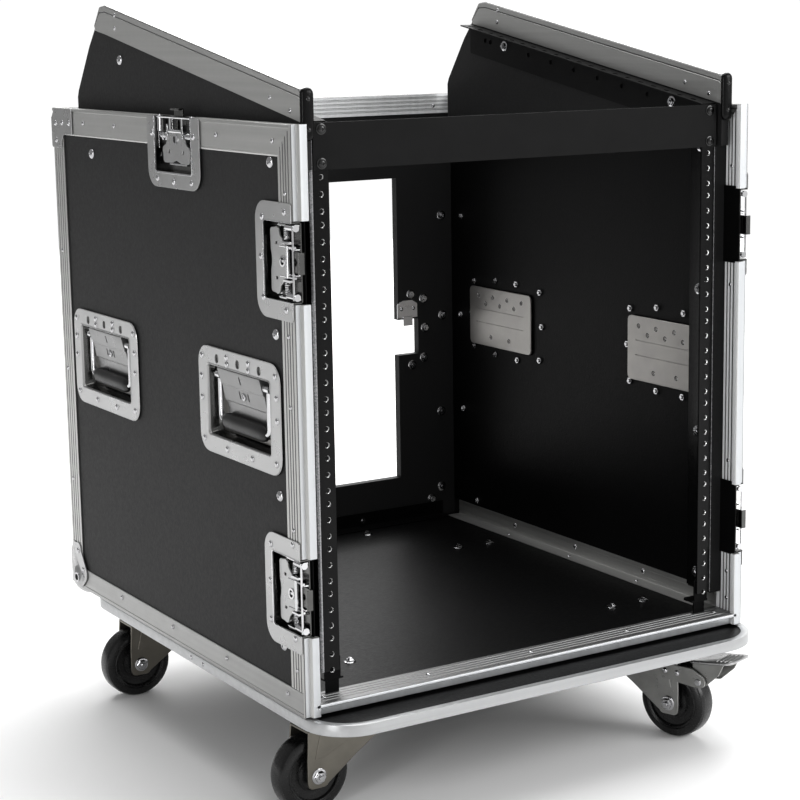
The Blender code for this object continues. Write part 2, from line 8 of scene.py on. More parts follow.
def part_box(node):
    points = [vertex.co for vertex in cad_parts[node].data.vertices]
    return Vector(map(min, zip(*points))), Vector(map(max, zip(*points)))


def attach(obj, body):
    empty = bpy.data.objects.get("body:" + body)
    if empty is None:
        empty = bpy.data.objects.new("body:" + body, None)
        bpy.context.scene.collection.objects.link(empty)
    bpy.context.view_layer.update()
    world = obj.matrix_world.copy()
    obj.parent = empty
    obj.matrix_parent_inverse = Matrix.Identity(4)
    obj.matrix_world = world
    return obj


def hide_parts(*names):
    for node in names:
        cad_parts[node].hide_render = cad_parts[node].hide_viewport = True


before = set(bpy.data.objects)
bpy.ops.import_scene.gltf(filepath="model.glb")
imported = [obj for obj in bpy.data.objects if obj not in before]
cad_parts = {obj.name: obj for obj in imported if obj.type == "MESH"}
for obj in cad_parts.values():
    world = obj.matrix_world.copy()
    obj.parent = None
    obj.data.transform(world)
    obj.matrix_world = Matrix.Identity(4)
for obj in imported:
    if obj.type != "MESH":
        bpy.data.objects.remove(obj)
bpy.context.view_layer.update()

# Reference places, in case coordinates: x from the middle, y from the front shoulder, z up
# from the case's underside.  The first ones are read from the frame.
TONGUE = 0.005
TRIM_LOW, TRIM_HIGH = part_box("front_trim_left")
FRONT_Y = TRIM_LOW.y + TONGUE
BASE_Z = TRIM_LOW.z
HALF = -TRIM_LOW.x                     # half width over the side trims
HEIGHT = TRIM_HIGH.z - TRIM_LOW.z
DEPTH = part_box("rear_trim_left")[1].y - FRONT_Y
WALL = 0.011                           # depth of the trims on the side and rear walls
REAR_WALL = 0.014
PANEL_IN = HALF - WALL + 0.0013        # inner face of a side panel
REAR_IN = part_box("rear_panel")[0].y - FRONT_Y
FLOOR_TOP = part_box("floor_panel")[1].z - BASE_Z
SIDES = (("left", -1.0), ("right", 1.0))

HANDLE_Y = {"front": 0.1175, "rear": 0.443}
HANDLE_Z = 0.283
LATCH_Z = {"upper": 0.4365, "lower": 0.1175}
LATCH_TOP_Y = 0.2465
RAIL_FACE_Y = 0.0165
RAIL_FLANGE_X = 0.2422                 # inner and outer face of a rail's flange
RAIL_OUT_X = 0.2442
RACK_UNIT = 0.04445
RACK_STEP = 0.015875                   # between the holes of a unit
RACK_HOLE_X = 0.23255
RACK_TOP_HOLE_Z = 0.5569
SLANT_OUT = 0.256                      # |x| of the slant channels' two faces
SLANT_IN = 0.244
BOARD_TOP = -0.0015
BOARD_LOW = -0.013
WHEEL_R = 0.040
TRAIL = 0.045                          # from a caster's swivel to its axle
AXLE_Z = WHEEL_R - BASE_Z
CASTERS = {                            # the swivel's x and y, and the way from it to the axle
    "front_left": (-0.190, 0.067, 183.0),
    "rear_left": (-0.190, 0.487, 180.0),
    "front_right": (0.190, 0.067, -72.0),
    "rear_right": (0.190, 0.487, 160.0),
}


def at(x, y, z):
    """World point from case coordinates."""
    return Vector((x, y + FRONT_Y, z + BASE_Z))


def mm(*pairs):
    return [tuple(value / 1000 for value in pair) for pair in pairs]


def mirrored(s, pairs):
    """Pairs that start with an |x|, moved to one side of the case."""
    return [(s * x, other) for x, other in pairs]


# Surfaces that hardware sits on: u and v run along the surface, h stands off it ---------
def facing_side(s, x, out=1.0):
    """Plane at |x| on one side of the case; out is -1 where it faces the middle."""
    return lambda u, v, h: Vector((s * (x + out * h), u, v))


def facing_end(y, out=1.0):
    """Plane across the case; out is -1 where it faces the front."""
    return lambda u, v, h: Vector((u, y + out * h, v))


def facing_up(z, out=1.0):
    return lambda u, v, h: Vector((u, v, z + out * h))


def outer_wall(s):
    return facing_side(s, HALF)


def inner_wall(s):
    return facing_side(s, PANEL_IN, -1.0)


def rail_flange(s):
    return facing_side(s, RAIL_FLANGE_X, -1.0)


rear_inner = facing_end(REAR_IN, -1.0)
rear_outer = facing_end(DEPTH)
rack_face = facing_end(RAIL_FACE_Y, -1.0)
floor_top = facing_up(FLOOR_TOP)


def latch_surface(s, place):
    """Latch places: a runs in from the case's edge, b along it, h is the distance |x|."""
    if place == "top":
        return lambda a, b, h: Vector((s * h, LATCH_TOP_Y + b, HEIGHT - a))
    return lambda a, b, h: Vector((s * h, a, LATCH_Z[place] + b))


def caster_surface(place):
    """Caster places: u ahead of the swivel, z up, w along the axle."""
    x, y, heading = CASTERS[place]
    c, n = math.cos(math.radians(heading)), math.sin(math.radians(heading))
    return lambda u, z, w: Vector((x + u * c - w * n, y + u * n + w * c, z))


# Ways to run a section into a bar: the section's two numbers first, the length last ------
def bar_up(s):
    return lambda x, y, z: Vector((s * x, y, z))


def bar_back(s):
    return lambda x, z, y: Vector((s * x, y, z))


def bar_across(y, z, x):
    return Vector((x, y, z))


# Materials ----------------------------------------------------------------------------
class Look:
    """One procedural material: a Principled shader with noise driving what is asked."""

    def __init__(self, name, color, roughness, metallic=0.0):
        self.material = bpy.data.materials.new(name)
        self.material.use_nodes = True
        self.tree = self.material.node_tree
        self.shader = self.tree.nodes["Principled BSDF"]
        self.set("Base Color", (*color, 1.0))
        self.set("Roughness", roughness)
        self.set("Metallic", metallic)
        self.color = color
        self.normal = None

    def set(self, socket, value):
        self.shader.inputs[socket].default_value = value

    def node(self, kind, **values):
        made = self.tree.nodes.new(kind)
        for key, value in values.items():
            made.inputs[key].default_value = value
        return made

    def link(self, a, b):
        self.tree.links.new(a, b)

    def coordinates(self, stretch):
        place = self.node("ShaderNodeTexCoord")
        mapping = self.node("ShaderNodeMapping", Scale=stretch)
        self.link(place.outputs["Object"], mapping.inputs["Vector"])
        return mapping.outputs["Vector"]

    def noise(self, scale, detail=3.0, stretch=(1.0, 1.0, 1.0), distortion=0.0):
        made = self.node("ShaderNodeTexNoise", Scale=scale, Detail=detail, Distortion=distortion)
        self.link(self.coordinates(stretch), made.inputs["Vector"])
        return made.outputs["Fac"]

    def cells(self, scale, stretch=(1.0, 1.0, 1.0)):
        made = self.node("ShaderNodeTexVoronoi", Scale=scale)
        self.link(self.coordinates(stretch), made.inputs["Vector"])
        return made.outputs["Distance"]

    def ramp(self, value, low, high, start=0.3, stop=0.7):
        """Numbers from low to high as the value goes from start to stop."""
        made = self.node("ShaderNodeMapRange", **{"From Min": start, "From Max": stop,
                                                  "To Min": low, "To Max": high})
        self.link(value, made.inputs["Value"])
        return made.outputs["Result"]

    def vary_roughness(self, value, low, high):
        self.link(self.ramp(value, low, high), self.shader.inputs["Roughness"])

    def vary_color(self, value, other, start=0.3, stop=0.7):
        mix = self.node("ShaderNodeMix")
        mix.data_type = "RGBA"
        mix.inputs[6].default_value = (*self.color, 1.0)
        mix.inputs[7].default_value = (*other, 1.0)
        self.link(self.ramp(value, 0.0, 1.0, start, stop), mix.inputs[0])
        self.link(mix.outputs[2], self.shader.inputs["Base Color"])

    def bump(self, value, distance, strength=0.5):
        made = self.node("ShaderNodeBump", Distance=distance, Strength=strength)
        self.link(value, made.inputs["Height"])
        if self.normal:
            self.link(self.normal, made.inputs["Normal"])
        self.normal = made.outputs["Normal"]
        self.link(self.normal, self.shader.inputs["Normal"])


def laminate_look(name, color, other, roughness, relief, specular):
    """Phenolic laminate with a fine leather-like emboss and faint scuffs."""
    look = Look(name, color, roughness)
    look.set("Specular IOR Level", specular)
    look.vary_color(look.noise(650.0, 3.0), other)
    look.vary_roughness(look.noise(260.0, 5.0), roughness - 0.04, roughness + 0.04)
    look.bump(look.noise(420.0, 4.0, distortion=0.6), relief)
    look.bump(look.cells(760.0), relief * 0.4, 0.35)
    return look.material


def aluminium_look(name, along, color, roughness, metallic=0.80):
    """Extruded aluminium with drawing lines along one axis and handling marks."""
    stretch = [1.0, 1.0, 1.0]
    stretch[along] = 0.012
    look = Look(name, color, roughness, metallic)
    lines = look.noise(900.0, 3.0, tuple(stretch))
    look.vary_color(look.noise(180.0, 4.0, tuple(stretch)), tuple(c * 0.88 for c in color))
    look.vary_roughness(look.noise(90.0, 5.0), roughness - 0.03, roughness + 0.05)
    look.bump(lines, 0.00003)
    return look.material


def metal_look(name, color, other, low, high, scale, metallic=1.0):
    """Plated or polished steel, unevenly bright."""
    look = Look(name, color, (low + high) / 2, metallic)
    look.vary_color(look.noise(scale, 3.0), other)
    look.vary_roughness(look.noise(scale * 3.0, 4.0), low, high)
    return look.material


def coating_look(name, color, other, roughness, grain, relief, specular=0.5):
    """Paint, rubber or plastic with a fine grain."""
    look = Look(name, color, roughness)
    look.set("Specular IOR Level", specular)
    look.vary_color(look.noise(45.0, 4.0), other)
    look.vary_roughness(look.noise(grain * 0.3, 3.0), roughness - 0.04, roughness + 0.06)
    look.bump(look.noise(grain, 3.0), relief)
    return look.material


LAMINATE = laminate_look("laminate_outside", (0.0102, 0.0102, 0.0104), (0.0082, 0.0082, 0.0084),
                         0.55, 0.00028, 0.16)
# Darker copy of the laminate for the inside walls, the floor and the board under the case: painted
# shade.
LAMINATE_PAINTED_SHADE = laminate_look("laminate_inside", (0.0026, 0.0026, 0.0027), (0.0020, 0.0020, 0.0021),
                       0.42, 0.00034, 0.07)
# Lighter copy of the inside laminate for the rear wall: painted light.
LAMINATE_REAR_PAINTED_LIGHT = laminate_look("laminate_rear_wall", (0.0180, 0.0180, 0.0183),
                            (0.0145, 0.0145, 0.0148), 0.50, 0.00034, 0.12)
ALU = {axis: aluminium_look(f"aluminium_{axis}", i, (0.47, 0.47, 0.46), 0.34)
       for i, axis in enumerate("xyz")}
# Lighter copy of the aluminium for faces turned to the front: painted light where the front lamp
# falls.
ALU_PAINTED_LIGHT = aluminium_look("aluminium_bright_face", 2, (0.60, 0.615, 0.63), 0.42)
# Near-white, barely metallic copy of the aluminium for flange faces looking into the case: painted
# light on faces that would render dark.
FLANGE_PAINTED_LIGHT = aluminium_look("aluminium_inner_flange", 2, (0.95, 0.96, 0.97), 0.42, 0.20)
BAND = aluminium_look("aluminium_bottom_band", 1, (0.33, 0.33, 0.325), 0.36)
SILL = aluminium_look("aluminium_sill", 0, (0.20, 0.20, 0.20), 0.40)
# Dark copy of the aluminium for the faces inside grooves: painted shade in the grooves.
GROOVE = aluminium_look("aluminium_groove", 2, (0.14, 0.14, 0.14), 0.42)
EDGING = aluminium_look("board_edging", 0, (0.43, 0.435, 0.44), 0.34)
CHROME = metal_look("chrome", (0.62, 0.62, 0.63), (0.57, 0.57, 0.58), 0.06, 0.10, 60.0)
# Chrome painted dark for shade: inside the handle dishes, the latch dishes and on the draw hooks.
CHROME_PAINTED_SHADE = metal_look("shaded_chrome", (0.11, 0.11, 0.107), (0.09, 0.09, 0.088),
                         0.16, 0.24, 90.0)
POLISHED = metal_look("polished_steel", (0.31, 0.30, 0.285), (0.28, 0.27, 0.26),
                      0.28, 0.34, 40.0, 0.85)
STAMPED = metal_look("stamped_steel", (0.41, 0.41, 0.41), (0.39, 0.39, 0.39),
                     0.27, 0.29, 25.0, 0.85)
# Stamped steel painted darker: painted shade on the spring plates in the handle dishes.
STEEL_PAINTED_SHADE = metal_look("spring_plate_steel", (0.20, 0.20, 0.20), (0.18, 0.18, 0.18),
                    0.27, 0.31, 25.0, 0.85)
RIVET = metal_look("rivet_steel", (0.52, 0.52, 0.53), (0.44, 0.44, 0.45), 0.07, 0.13, 160.0)
ZINC = metal_look("zinc_steel", (0.165, 0.154, 0.132), (0.138, 0.129, 0.110),
                  0.28, 0.40, 55.0, 0.9)
PLATED = metal_look("bright_zinc_steel", (0.34, 0.34, 0.33), (0.27, 0.27, 0.26),
                    0.26, 0.38, 55.0, 0.9)
OXIDE = metal_look("black_oxide_steel", (0.045, 0.045, 0.045), (0.03, 0.03, 0.03),
                   0.09, 0.16, 200.0)
THREAD = metal_look("rail_thread_steel", (0.80, 0.80, 0.80), (0.70, 0.70, 0.70), 0.12, 0.22, 300.0)
# Light grey metal for the rack rails' round bend: a painted highlight on the glossy black bend.
BEND_HIGHLIGHT = metal_look("worn_paint_edge", (0.40, 0.40, 0.41), (0.35, 0.35, 0.36), 0.24, 0.30, 90.0, 0.5)
POWDER = coating_look("black_powder_coat", (0.0024, 0.0024, 0.0025), (0.0019, 0.0019, 0.0020),
                      0.42, 1400.0, 0.00003, 0.05)
SATIN = coating_look("black_satin_paint", (0.0075, 0.0075, 0.0076), (0.0062, 0.0062, 0.0063),
                     0.45, 1400.0, 0.00003, 0.05)
GLOSS = coating_look("black_gloss_paint", (0.0024, 0.0024, 0.0025), (0.0019, 0.0019, 0.0020),
                     0.20, 900.0, 0.00001, 0.12)
RUBBER = coating_look("grip_rubber", (0.0065, 0.0065, 0.0066), (0.0045, 0.0045, 0.0046),
                      0.38, 1800.0, 0.00004, 0.30)
WHEEL = coating_look("wheel_rubber", (0.0045, 0.0045, 0.0047), (0.0034, 0.0034, 0.0035),
                     0.28, 1200.0, 0.00004, 0.32)

SLOT_LOOKS = {
    "laminated_plywood": (LAMINATE_PAINTED_SHADE,),
    "aluminium_trim": (*ALU.values(), BAND, SILL, EDGING),
    "chromed_steel": (CHROME, CHROME_PAINTED_SHADE, POLISHED, STAMPED, STEEL_PAINTED_SHADE, RIVET, OXIDE, THREAD),
    "zinc_steel": (ZINC, PLATED),
    "black_steel": (POWDER, SATIN, GLOSS),
    "black_rubber": (RUBBER,),
    "wheel_rubber": (WHEEL,),
}
SLOTS = {look.name: slot for slot, looks in SLOT_LOOKS.items() for look in looks}


# Shapes -------------------------------------------------------------------------------
def arc(u, v, radius, start, stop, steps):
    """Points on an arc, angles in degrees."""
    turns = [math.radians(start + (stop - start) * i / steps) for i in range(steps + 1)]
    return [(u + radius * math.cos(t), v + radius * math.sin(t)) for t in turns]


def rounded(u, v, width, height, radius, steps=5):
    """Rectangle with round corners about a middle point."""
    a, b = width / 2 - radius, height / 2 - radius
    corners = ((a, b, 0), (-a, b, 90), (-a, -b, 180), (a, -b, 270))
    return [p for du, dv, turn in corners
            for p in arc(u + du, v + dv, radius, turn, turn + 90, steps)]


def circle(u, v, radius, steps):
    return arc(u, v, radius, 0, 360 - 360 / steps, steps - 1)


def skin(bm, rings, closed=False):
    """Faces through rings of equal count, capped at the ends or closed on themselves."""
    pairs = list(zip(rings, rings[1:]))
    if closed:
        pairs.append((rings[-1], rings[0]))
    else:
        bm.faces.new(rings[0])
        bm.faces.new(rings[-1])
    for first, second in pairs:
        for i, vert in enumerate(first):
            j = (i + 1) % len(first)
            bm.faces.new((vert, first[j], second[j], second[i]))


def loft(bm, put, loops, ring=False):
    """Skin through (outline, h) loops on a surface."""
    skin(bm, [[bm.verts.new(put(u, v, h)) for u, v in outline] for outline, h in loops], ring)


def strip(bm, section, stations, closed=False):
    """Skin a section along stations; each station maps a section point to a place."""
    skin(bm, [[bm.verts.new(station(*p)) for p in section] for station in stations], closed)


def slab(bm, put, outline, low, high):
    loft(bm, put, [(outline, low), (outline, high)])


def turned(bm, put, u, v, profile, steps=14):
    """Round part on a surface: (radius, h) pairs from its foot to its tip, in mm."""
    loft(bm, put, [(circle(u, v, r / 1000, steps), h / 1000) for r, h in profile])


def hollow_turned(bm, put, u, v, profile, steps=20):
    """Ring whose profile closes on itself."""
    loft(bm, put, [(circle(u, v, r / 1000, steps), h / 1000) for r, h in profile], ring=True)


RIVET_HEAD = ((3.4, -0.6), (3.4, 0.2), (3.1, 0.8), (2.3, 1.3), (1.3, 1.55), (0.4, 1.6))
SMALL_RIVET = ((2.5, -0.6), (2.5, 0.1), (2.2, 0.6), (1.6, 1.0), (0.8, 1.25), (0.3, 1.3))
BOLT_HEAD = ((5.6, -0.6), (5.6, 0.35), (5.2, 1.1), (4.2, 2.0), (2.6, 2.7), (2.0, 2.8), (1.7, 1.9),
             (0.4, 1.7))
SUNK = -0.0002                # lift of a washer whose foot stays under the surface
WASHER = ((6.2, -0.3), (6.2, 0.7), (5.8, 0.95), (3.0, 0.95))
NUT = ((4.3, 0.9), (4.3, 2.9), (3.8, 3.5), (2.4, 3.5), (2.3, 4.6), (1.9, 5.0))


def lifted(profile, lift):
    """A turned profile (mm) moved off its surface by a lift in metres."""
    return [(r, h + lift * 1000) for r, h in profile]


def rivets(bm, put, places, lift=0.0, head=RIVET_HEAD):
    for u, v in places:
        turned(bm, put, u, v, lifted(head, lift))


def small_rivets(bm, put, places, lift=0.0):
    rivets(bm, put, places, lift, SMALL_RIVET)


def washered_bolts(bm, put, places, lift=0.0):
    """Washer, nut and bolt end."""
    for u, v in places:
        turned(bm, put, u, v, lifted(WASHER, lift), 20)
        turned(bm, put, u, v, lifted(NUT, lift), 6)


# Faces turned to the front; the trims and the sill give them painted light.
def faces_front(face):
    return face.normal.y < -0.9


GROOVE_DEPTH = 0.0008
SHALLOW, DEEP = 0.00025, 0.00095       # where a groove's floor and flanks have their middles


def pressed(axis, level, sign=1.0):
    """Test for the faces of grooves pressed into a surface at one level; the trims give these
    faces painted shade.
    """
    origin = at(0, 0, 0)

    def is_there(face):
        place = face.center - origin
        value = abs(place.x) if axis == "x" else getattr(place, axis)
        return SHALLOW < sign * (level - value) < DEEP

    return is_there


def grooved(start, stop, grooves, width=0.0021, depth=GROOVE_DEPTH):
    """(distance, level) points along a face with grooves pressed at the given places."""
    direction = 1.0 if stop > start else -1.0
    points = [(start, 0.0)]
    for middle in sorted(grooves, reverse=stop < start):
        for offset, level in ((-0.5, 0.0), (-0.28, -depth), (0.28, -depth), (0.5, 0.0)):
            points.append((middle + direction * offset * width, level))
    return points + [(stop, 0.0)]


def tube(bm, points, radius, steps=8):
    """Round bar through points, with its ends closed."""
    turns = [2 * math.pi * k / steps for k in range(steps)]
    rings = []
    for i, point in enumerate(points):
        before, after = points[max(i - 1, 0)], points[min(i + 1, len(points) - 1)]
        forward = (after - before).normalized()
        if not rings:
            side = forward.orthogonal().normalized()
        side = (side - forward * side.dot(forward)).normalized()
        up = forward.cross(side)
        rings.append([bm.verts.new(point + (side * math.cos(t) + up * math.sin(t)) * radius)
                      for t in turns])
    skin(bm, rings)


def coil(bm, start, along, radius, wire, turns):
    """Spring from a start point along a vector."""
    axis = along.normalized()
    side = axis.orthogonal().normalized()
    up = axis.cross(side)
    count = turns * 12
    points = [start + along * (i / count) + (side * math.cos(i * math.pi / 6)
              + up * math.sin(i * math.pi / 6)) * radius for i in range(count + 1)]
    tube(bm, points, wire, 6)


def make_mesh(name, bm):
    bmesh.ops.recalc_face_normals(bm, faces=bm.faces)
    bmesh.ops.translate(bm, verts=bm.verts, vec=at(0, 0, 0))
    mesh = bpy.data.meshes.new(name)
    bm.to_mesh(mesh)
    bm.free()
    return mesh


def place_object(name, mesh):
    obj = bpy.data.objects.new(name, mesh)
    bpy.context.scene.collection.objects.link(obj)
    return obj


def combine(obj, bm, operation="DIFFERENCE"):
    """Cut or add one mesh for good; the helper object goes away."""
    other = place_object("operand", make_mesh("operand", bm))
    mod = obj.modifiers.new("combine", "BOOLEAN")
    mod.operation = operation
    mod.solver = "EXACT"
    mod.object = other
    graph = bpy.context.evaluated_depsgraph_get()
    obj.data = bpy.data.meshes.new_from_object(obj.evaluated_get(graph))
    obj.modifiers.clear()
    bpy.data.objects.remove(other)


def soften_edges(obj, width, angle):
    mod = obj.modifiers.new("edges", "BEVEL")
    mod.width = width
    mod.segments = 2
    mod.limit_method = "ANGLE"
    mod.angle_limit = math.radians(angle)
    mod.harden_normals = True


def piece(name, bm, look, body="case", slot=None, replaces=(), bevel=0.0, smooth=40.0,
          cut=(), add=(), others=()):
    """Object from a bmesh in case coordinates; others give some faces their own looks.

    Its slot, the one that goes with the look unless another is given, is only looked up, not kept."""
    obj = place_object(name, make_mesh(name, bm))
    for operand in add:
        combine(obj, operand, "UNION")
    for operand in cut:
        combine(obj, operand)
    obj.data.materials.clear()
    obj.data.materials.append(look)
    obj.data.shade_smooth()
    obj.data.set_sharp_from_angle(angle=math.radians(smooth))
    for index, (look_there, is_there) in enumerate(others, 1):
        obj.data.materials.append(look_there)
        for face in obj.data.polygons:
            if is_there(face):
                face.material_index = index
    if bevel:
        soften_edges(obj, bevel, 35)
    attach(obj, body)
    slot or SLOTS[look.name]
    if replaces:
        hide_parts(*replaces)


def rivet_piece(name, *rows, fix=small_rivets):
    """One piece from rows of rivets or bolts, each (surface, places, lift)."""
    bm = bmesh.new()
    for row in rows:
        fix(bm, *row)
    piece(name, bm, RIVET)


def block(s, x, y, z):
    """Box on one side of the case, used only to cut; x runs from the middle."""
    bm = bmesh.new()
    x = sorted((s * x[0], s * x[1]))
    outline = [(x[0], y[0]), (x[1], y[0]), (x[1], y[1]), (x[0], y[1])]
    slab(bm, bar_up(1.0), outline, *z)
    return bm


# Aluminium trims ----------------------------------------------------------------------
FLANGE = 0.025                # visible width of the grooved corner flanges
GROOVES = [0.0050, 0.0100, 0.0150, 0.0200]
REAR_FLANGE = 0.031
REAR_GROOVES = [0.0065, 0.0125, 0.0185, 0.0245]
INNER_FLANGE = 0.2620         # |x| of the front extrusion's flange beside the opening
SILL_TOP = 0.0120
LATCH_GAP = 0.0387            # half of the gap that a latch needs in a front extrusion
TOP_LATCH_GAP = 0.0446
REAR_LOW, REAR_HIGH = 0.0243, HEIGHT - 0.0303
PLATE = (0.0003, 0.0013)      # a stamped plate's back and front, off the surface under it
PLATE_TOP = PLATE[1]


def combined(*meshes):
    """One mesh from several loose ones."""
    whole = bmesh.new()
    for bm in meshes:
        part = bpy.data.meshes.new("part")
        bm.to_mesh(part)
        bm.free()
        whole.from_mesh(part)
        bpy.data.meshes.remove(part)
    return whole


def front_trim(side, s):
    """Corner extrusion: grooved outer flange, front face given painted light, tongue, inner flange
    given painted light, painted shade in the grooves.
    """
    outer = [(HALF + d, y) for y, d in grooved(FLANGE, 0.0016, GROOVES)]
    corner = [(HALF - 0.0004, 0.0004), (HALF - 0.0014, 0.0)]
    face = [(0.2672, 0.0), (0.2668, -0.0006), (0.2662, -0.0042), (0.2656, -0.0049),
            (0.2582, -0.0049), (0.2576, -0.0043), (0.2576, 0.0004), (0.2582, 0.0012),
            (0.2612, 0.0012)]
    inner = [(INNER_FLANGE - d, y)
             for y, d in grooved(0.0030, 0.0290, [g + 0.0025 for g in GROOVES])]
    back = [(0.2631, 0.029), (0.2631, 0.0024), (0.2719, 0.0024), (0.2719, FLANGE)]
    bm = bmesh.new()
    strip(bm, outer + corner + face + inner + back,
          (lambda x, y: Vector((s * x, y, 0.0)),
           lambda x, y: Vector((s * x, y, HEIGHT - max(y, 0.0)))))
    cuts = [block(s, (0.25, 0.29), (-0.02, 0.03), (z - LATCH_GAP, z + LATCH_GAP))
            for z in LATCH_Z.values()]
    cuts.append(block(s, (0.2640, 0.29), (0.0014, 0.06), (-0.01, 0.0244)))
    # Front faces get painted light: a lighter aluminium.
    piece(f"front_corner_trim_{side}", bm, ALU["z"],
          replaces=(f"front_trim_{side}",), cut=cuts,
          # Inner flange faces towards the middle get painted light: near-white aluminium.
          others=((ALU_PAINTED_LIGHT, faces_front), (FLANGE_PAINTED_LIGHT, lambda face: face.normal.x * s < -0.9),
                  # Groove faces get painted shade: a dark aluminium.
                  (GROOVE, pressed("x", HALF)), (GROOVE, pressed("x", INNER_FLANGE, -1.0))))


def inner_flange_rivets(side, s):
    rivet_piece(f"inner_flange_rivets_{side}",
                (facing_side(s, INNER_FLANGE, -1.0),
                 mm((12.5, 26), (12.5, 56), (12.5, 180), (12.5, 372), (12.5, 498))))


def rim_stations(front):
    """A rim down the left side, along the rear and up the right side."""
    rear = REAR_WALL / WALL
    return (lambda d, z: Vector((-HALF + d, front(z), z)),
            lambda d, z: Vector((-HALF + d, DEPTH - rear * d, z)),
            lambda d, z: Vector((HALF - d, DEPTH - rear * d, z)),
            lambda d, z: Vector((HALF - d, front(z), z)))


def top_trim():
    """Flat band outside, grooved flange inside, mitred at the corners."""
    low = HEIGHT - 0.030
    outer = [(0.0012, low), (0.0003, low), (0.0, low + 0.0004), (0.0, low + 0.0018),
             (0.0005, low + 0.0022), (0.0005, HEIGHT - 0.0038), (0.0, HEIGHT - 0.0034),
             (0.0, HEIGHT - 0.0012), (0.0004, HEIGHT - 0.0004), (0.0012, HEIGHT)]
    top = [(0.0030, HEIGHT), (0.0034, HEIGHT - 0.0004), (0.0076, HEIGHT - 0.0004),
           (0.0080, HEIGHT), (WALL - 0.001, HEIGHT), (WALL, HEIGHT - 0.001)]
    inner = [(WALL + d, HEIGHT - u) for u, d in grooved(0.002, 0.025, GROOVES)]
    back = [(WALL - 0.0011, HEIGHT - 0.025), (WALL - 0.0011, HEIGHT - 0.0012),
            (0.0012, HEIGHT - 0.0012)]
    bm = bmesh.new()
    strip(bm, outer + top + inner + back, rim_stations(lambda z: min(HEIGHT - z, FLANGE) + 0.0003))
    gap = (LATCH_TOP_Y - TOP_LATCH_GAP, LATCH_TOP_Y + TOP_LATCH_GAP)
    cuts = [block(s, (0.2633, 0.29), gap, (HEIGHT - 0.06, 0.58)) for _, s in SIDES]
    piece("top_rim_trim", bm, ALU["y"], replaces=("top_trim",), cut=cuts,
          # The rear trim's faces towards the front get painted light: near-white aluminium.
          others=((FLANGE_PAINTED_LIGHT, lambda face: face.normal.y < -0.9 and face.center.y > 0.0),
                  # Groove faces get painted shade: a dark aluminium.
                  (GROOVE, pressed("y", DEPTH - REAR_WALL, -1.0)),
                  (GROOVE, pressed("x", HALF - WALL, -1.0))))


def bottom_trim():
    """Flat band round three sides, with a short skirt below."""
    outer = [(0.0010, 0.0240), (0.0003, 0.0240), (0.0, 0.0236), (0.0, 0.0222), (0.0005, 0.0218),
             (0.0005, 0.0030), (0.0, 0.0026), (0.0, -0.0008), (0.0004, -0.0013),
             (0.0014, -0.0013), (0.0014, 0.0)]
    under = [(0.028, 0.0), (0.028, 0.001), (0.0010, 0.001)]
    bm = bmesh.new()
    strip(bm, outer + under, rim_stations(lambda z: 0.0015))
    piece("bottom_rim_trim", bm, BAND, replaces=("bottom_trim",))


def rear_trim(side, s):
    """Corner extrusion with a grooved flange on the side and one on the rear."""
    outer = [(HALF + d, DEPTH - u) for u, d in grooved(REAR_FLANGE, 0.0014, REAR_GROOVES)]
    corner = [(HALF - 0.0004, DEPTH - 0.0003), (HALF - 0.0014, DEPTH)]
    face = [(HALF - u, DEPTH + d) for u, d in grooved(0.002, 0.029, [g + 0.001 for g in GROOVES])]
    back = [(0.244, DEPTH - 0.0012), (HALF - 0.0012, DEPTH - 0.0012),
            (HALF - 0.0012, DEPTH - REAR_FLANGE)]
    bm = bmesh.new()
    slab(bm, bar_up(s), outer + corner + face + back, REAR_LOW, REAR_HIGH)
    piece(f"rear_corner_trim_{side}", bm, ALU["z"],
          replaces=(f"rear_trim_{side}",),
          # Groove faces get painted shade: a dark aluminium.
          others=((GROOVE, pressed("x", HALF)), (GROOVE, pressed("y", DEPTH))))


def front_trim_bottom():
    """Sill under the opening: face given painted light, tongue, grooved top flange with painted
    shade in the grooves.
    """
    reach = HALF - WALL - 0.0003
    face = [(0.0012, 0.0), (0.0003, 0.0003), (0.0, 0.0012), (0.0, 0.0072), (-0.0006, 0.0078),
            (-0.0042, 0.0082), (-0.0049, 0.0088), (-0.0049, 0.0114), (-0.0044, SILL_TOP)]
    top = [(y, SILL_TOP + d) for y, d in grooved(-0.002, 0.028, [0.004, 0.010, 0.016, 0.022])]
    back = [(0.028, 0.0109), (0.0015, 0.0109), (0.0015, 0.001), (0.028, 0.001), (0.028, 0.0)]
    bm = bmesh.new()
    slab(bm, bar_across, face + top + back, -reach, reach)
    # Its front faces get painted light: a lighter aluminium where the front lamp falls.
    piece("front_sill_trim", bm, SILL, replaces=("front_trim_bottom",),
          # Groove faces on its top get painted shade: a dark aluminium.
          others=((ALU_PAINTED_LIGHT, faces_front), (GROOVE, pressed("z", SILL_TOP))))


def floor_angle(side, s):
    """Grooved angle where the floor meets a side wall."""
    high = PANEL_IN - 0.0003
    section = [(high, FLOOR_TOP + 0.0003), (high, 0.0300), (high - 0.0010, 0.0300)]
    section += [(high - 0.0011 + d, z)
                for z, d in grooved(0.0290, 0.0128, [0.0165, 0.0255], 0.0012, -0.0004)]
    section += [(high - 0.0018, 0.0120), (0.2453, 0.0120), (0.2445, 0.0116),
                (0.2445, FLOOR_TOP + 0.0003)]
    bm = bmesh.new()
    slab(bm, bar_back(s), section, 0.0303, 0.545)
    piece(f"floor_edge_angle_{side}", bm, ALU["y"],
          replaces=(f"floor_angle_{side}",))


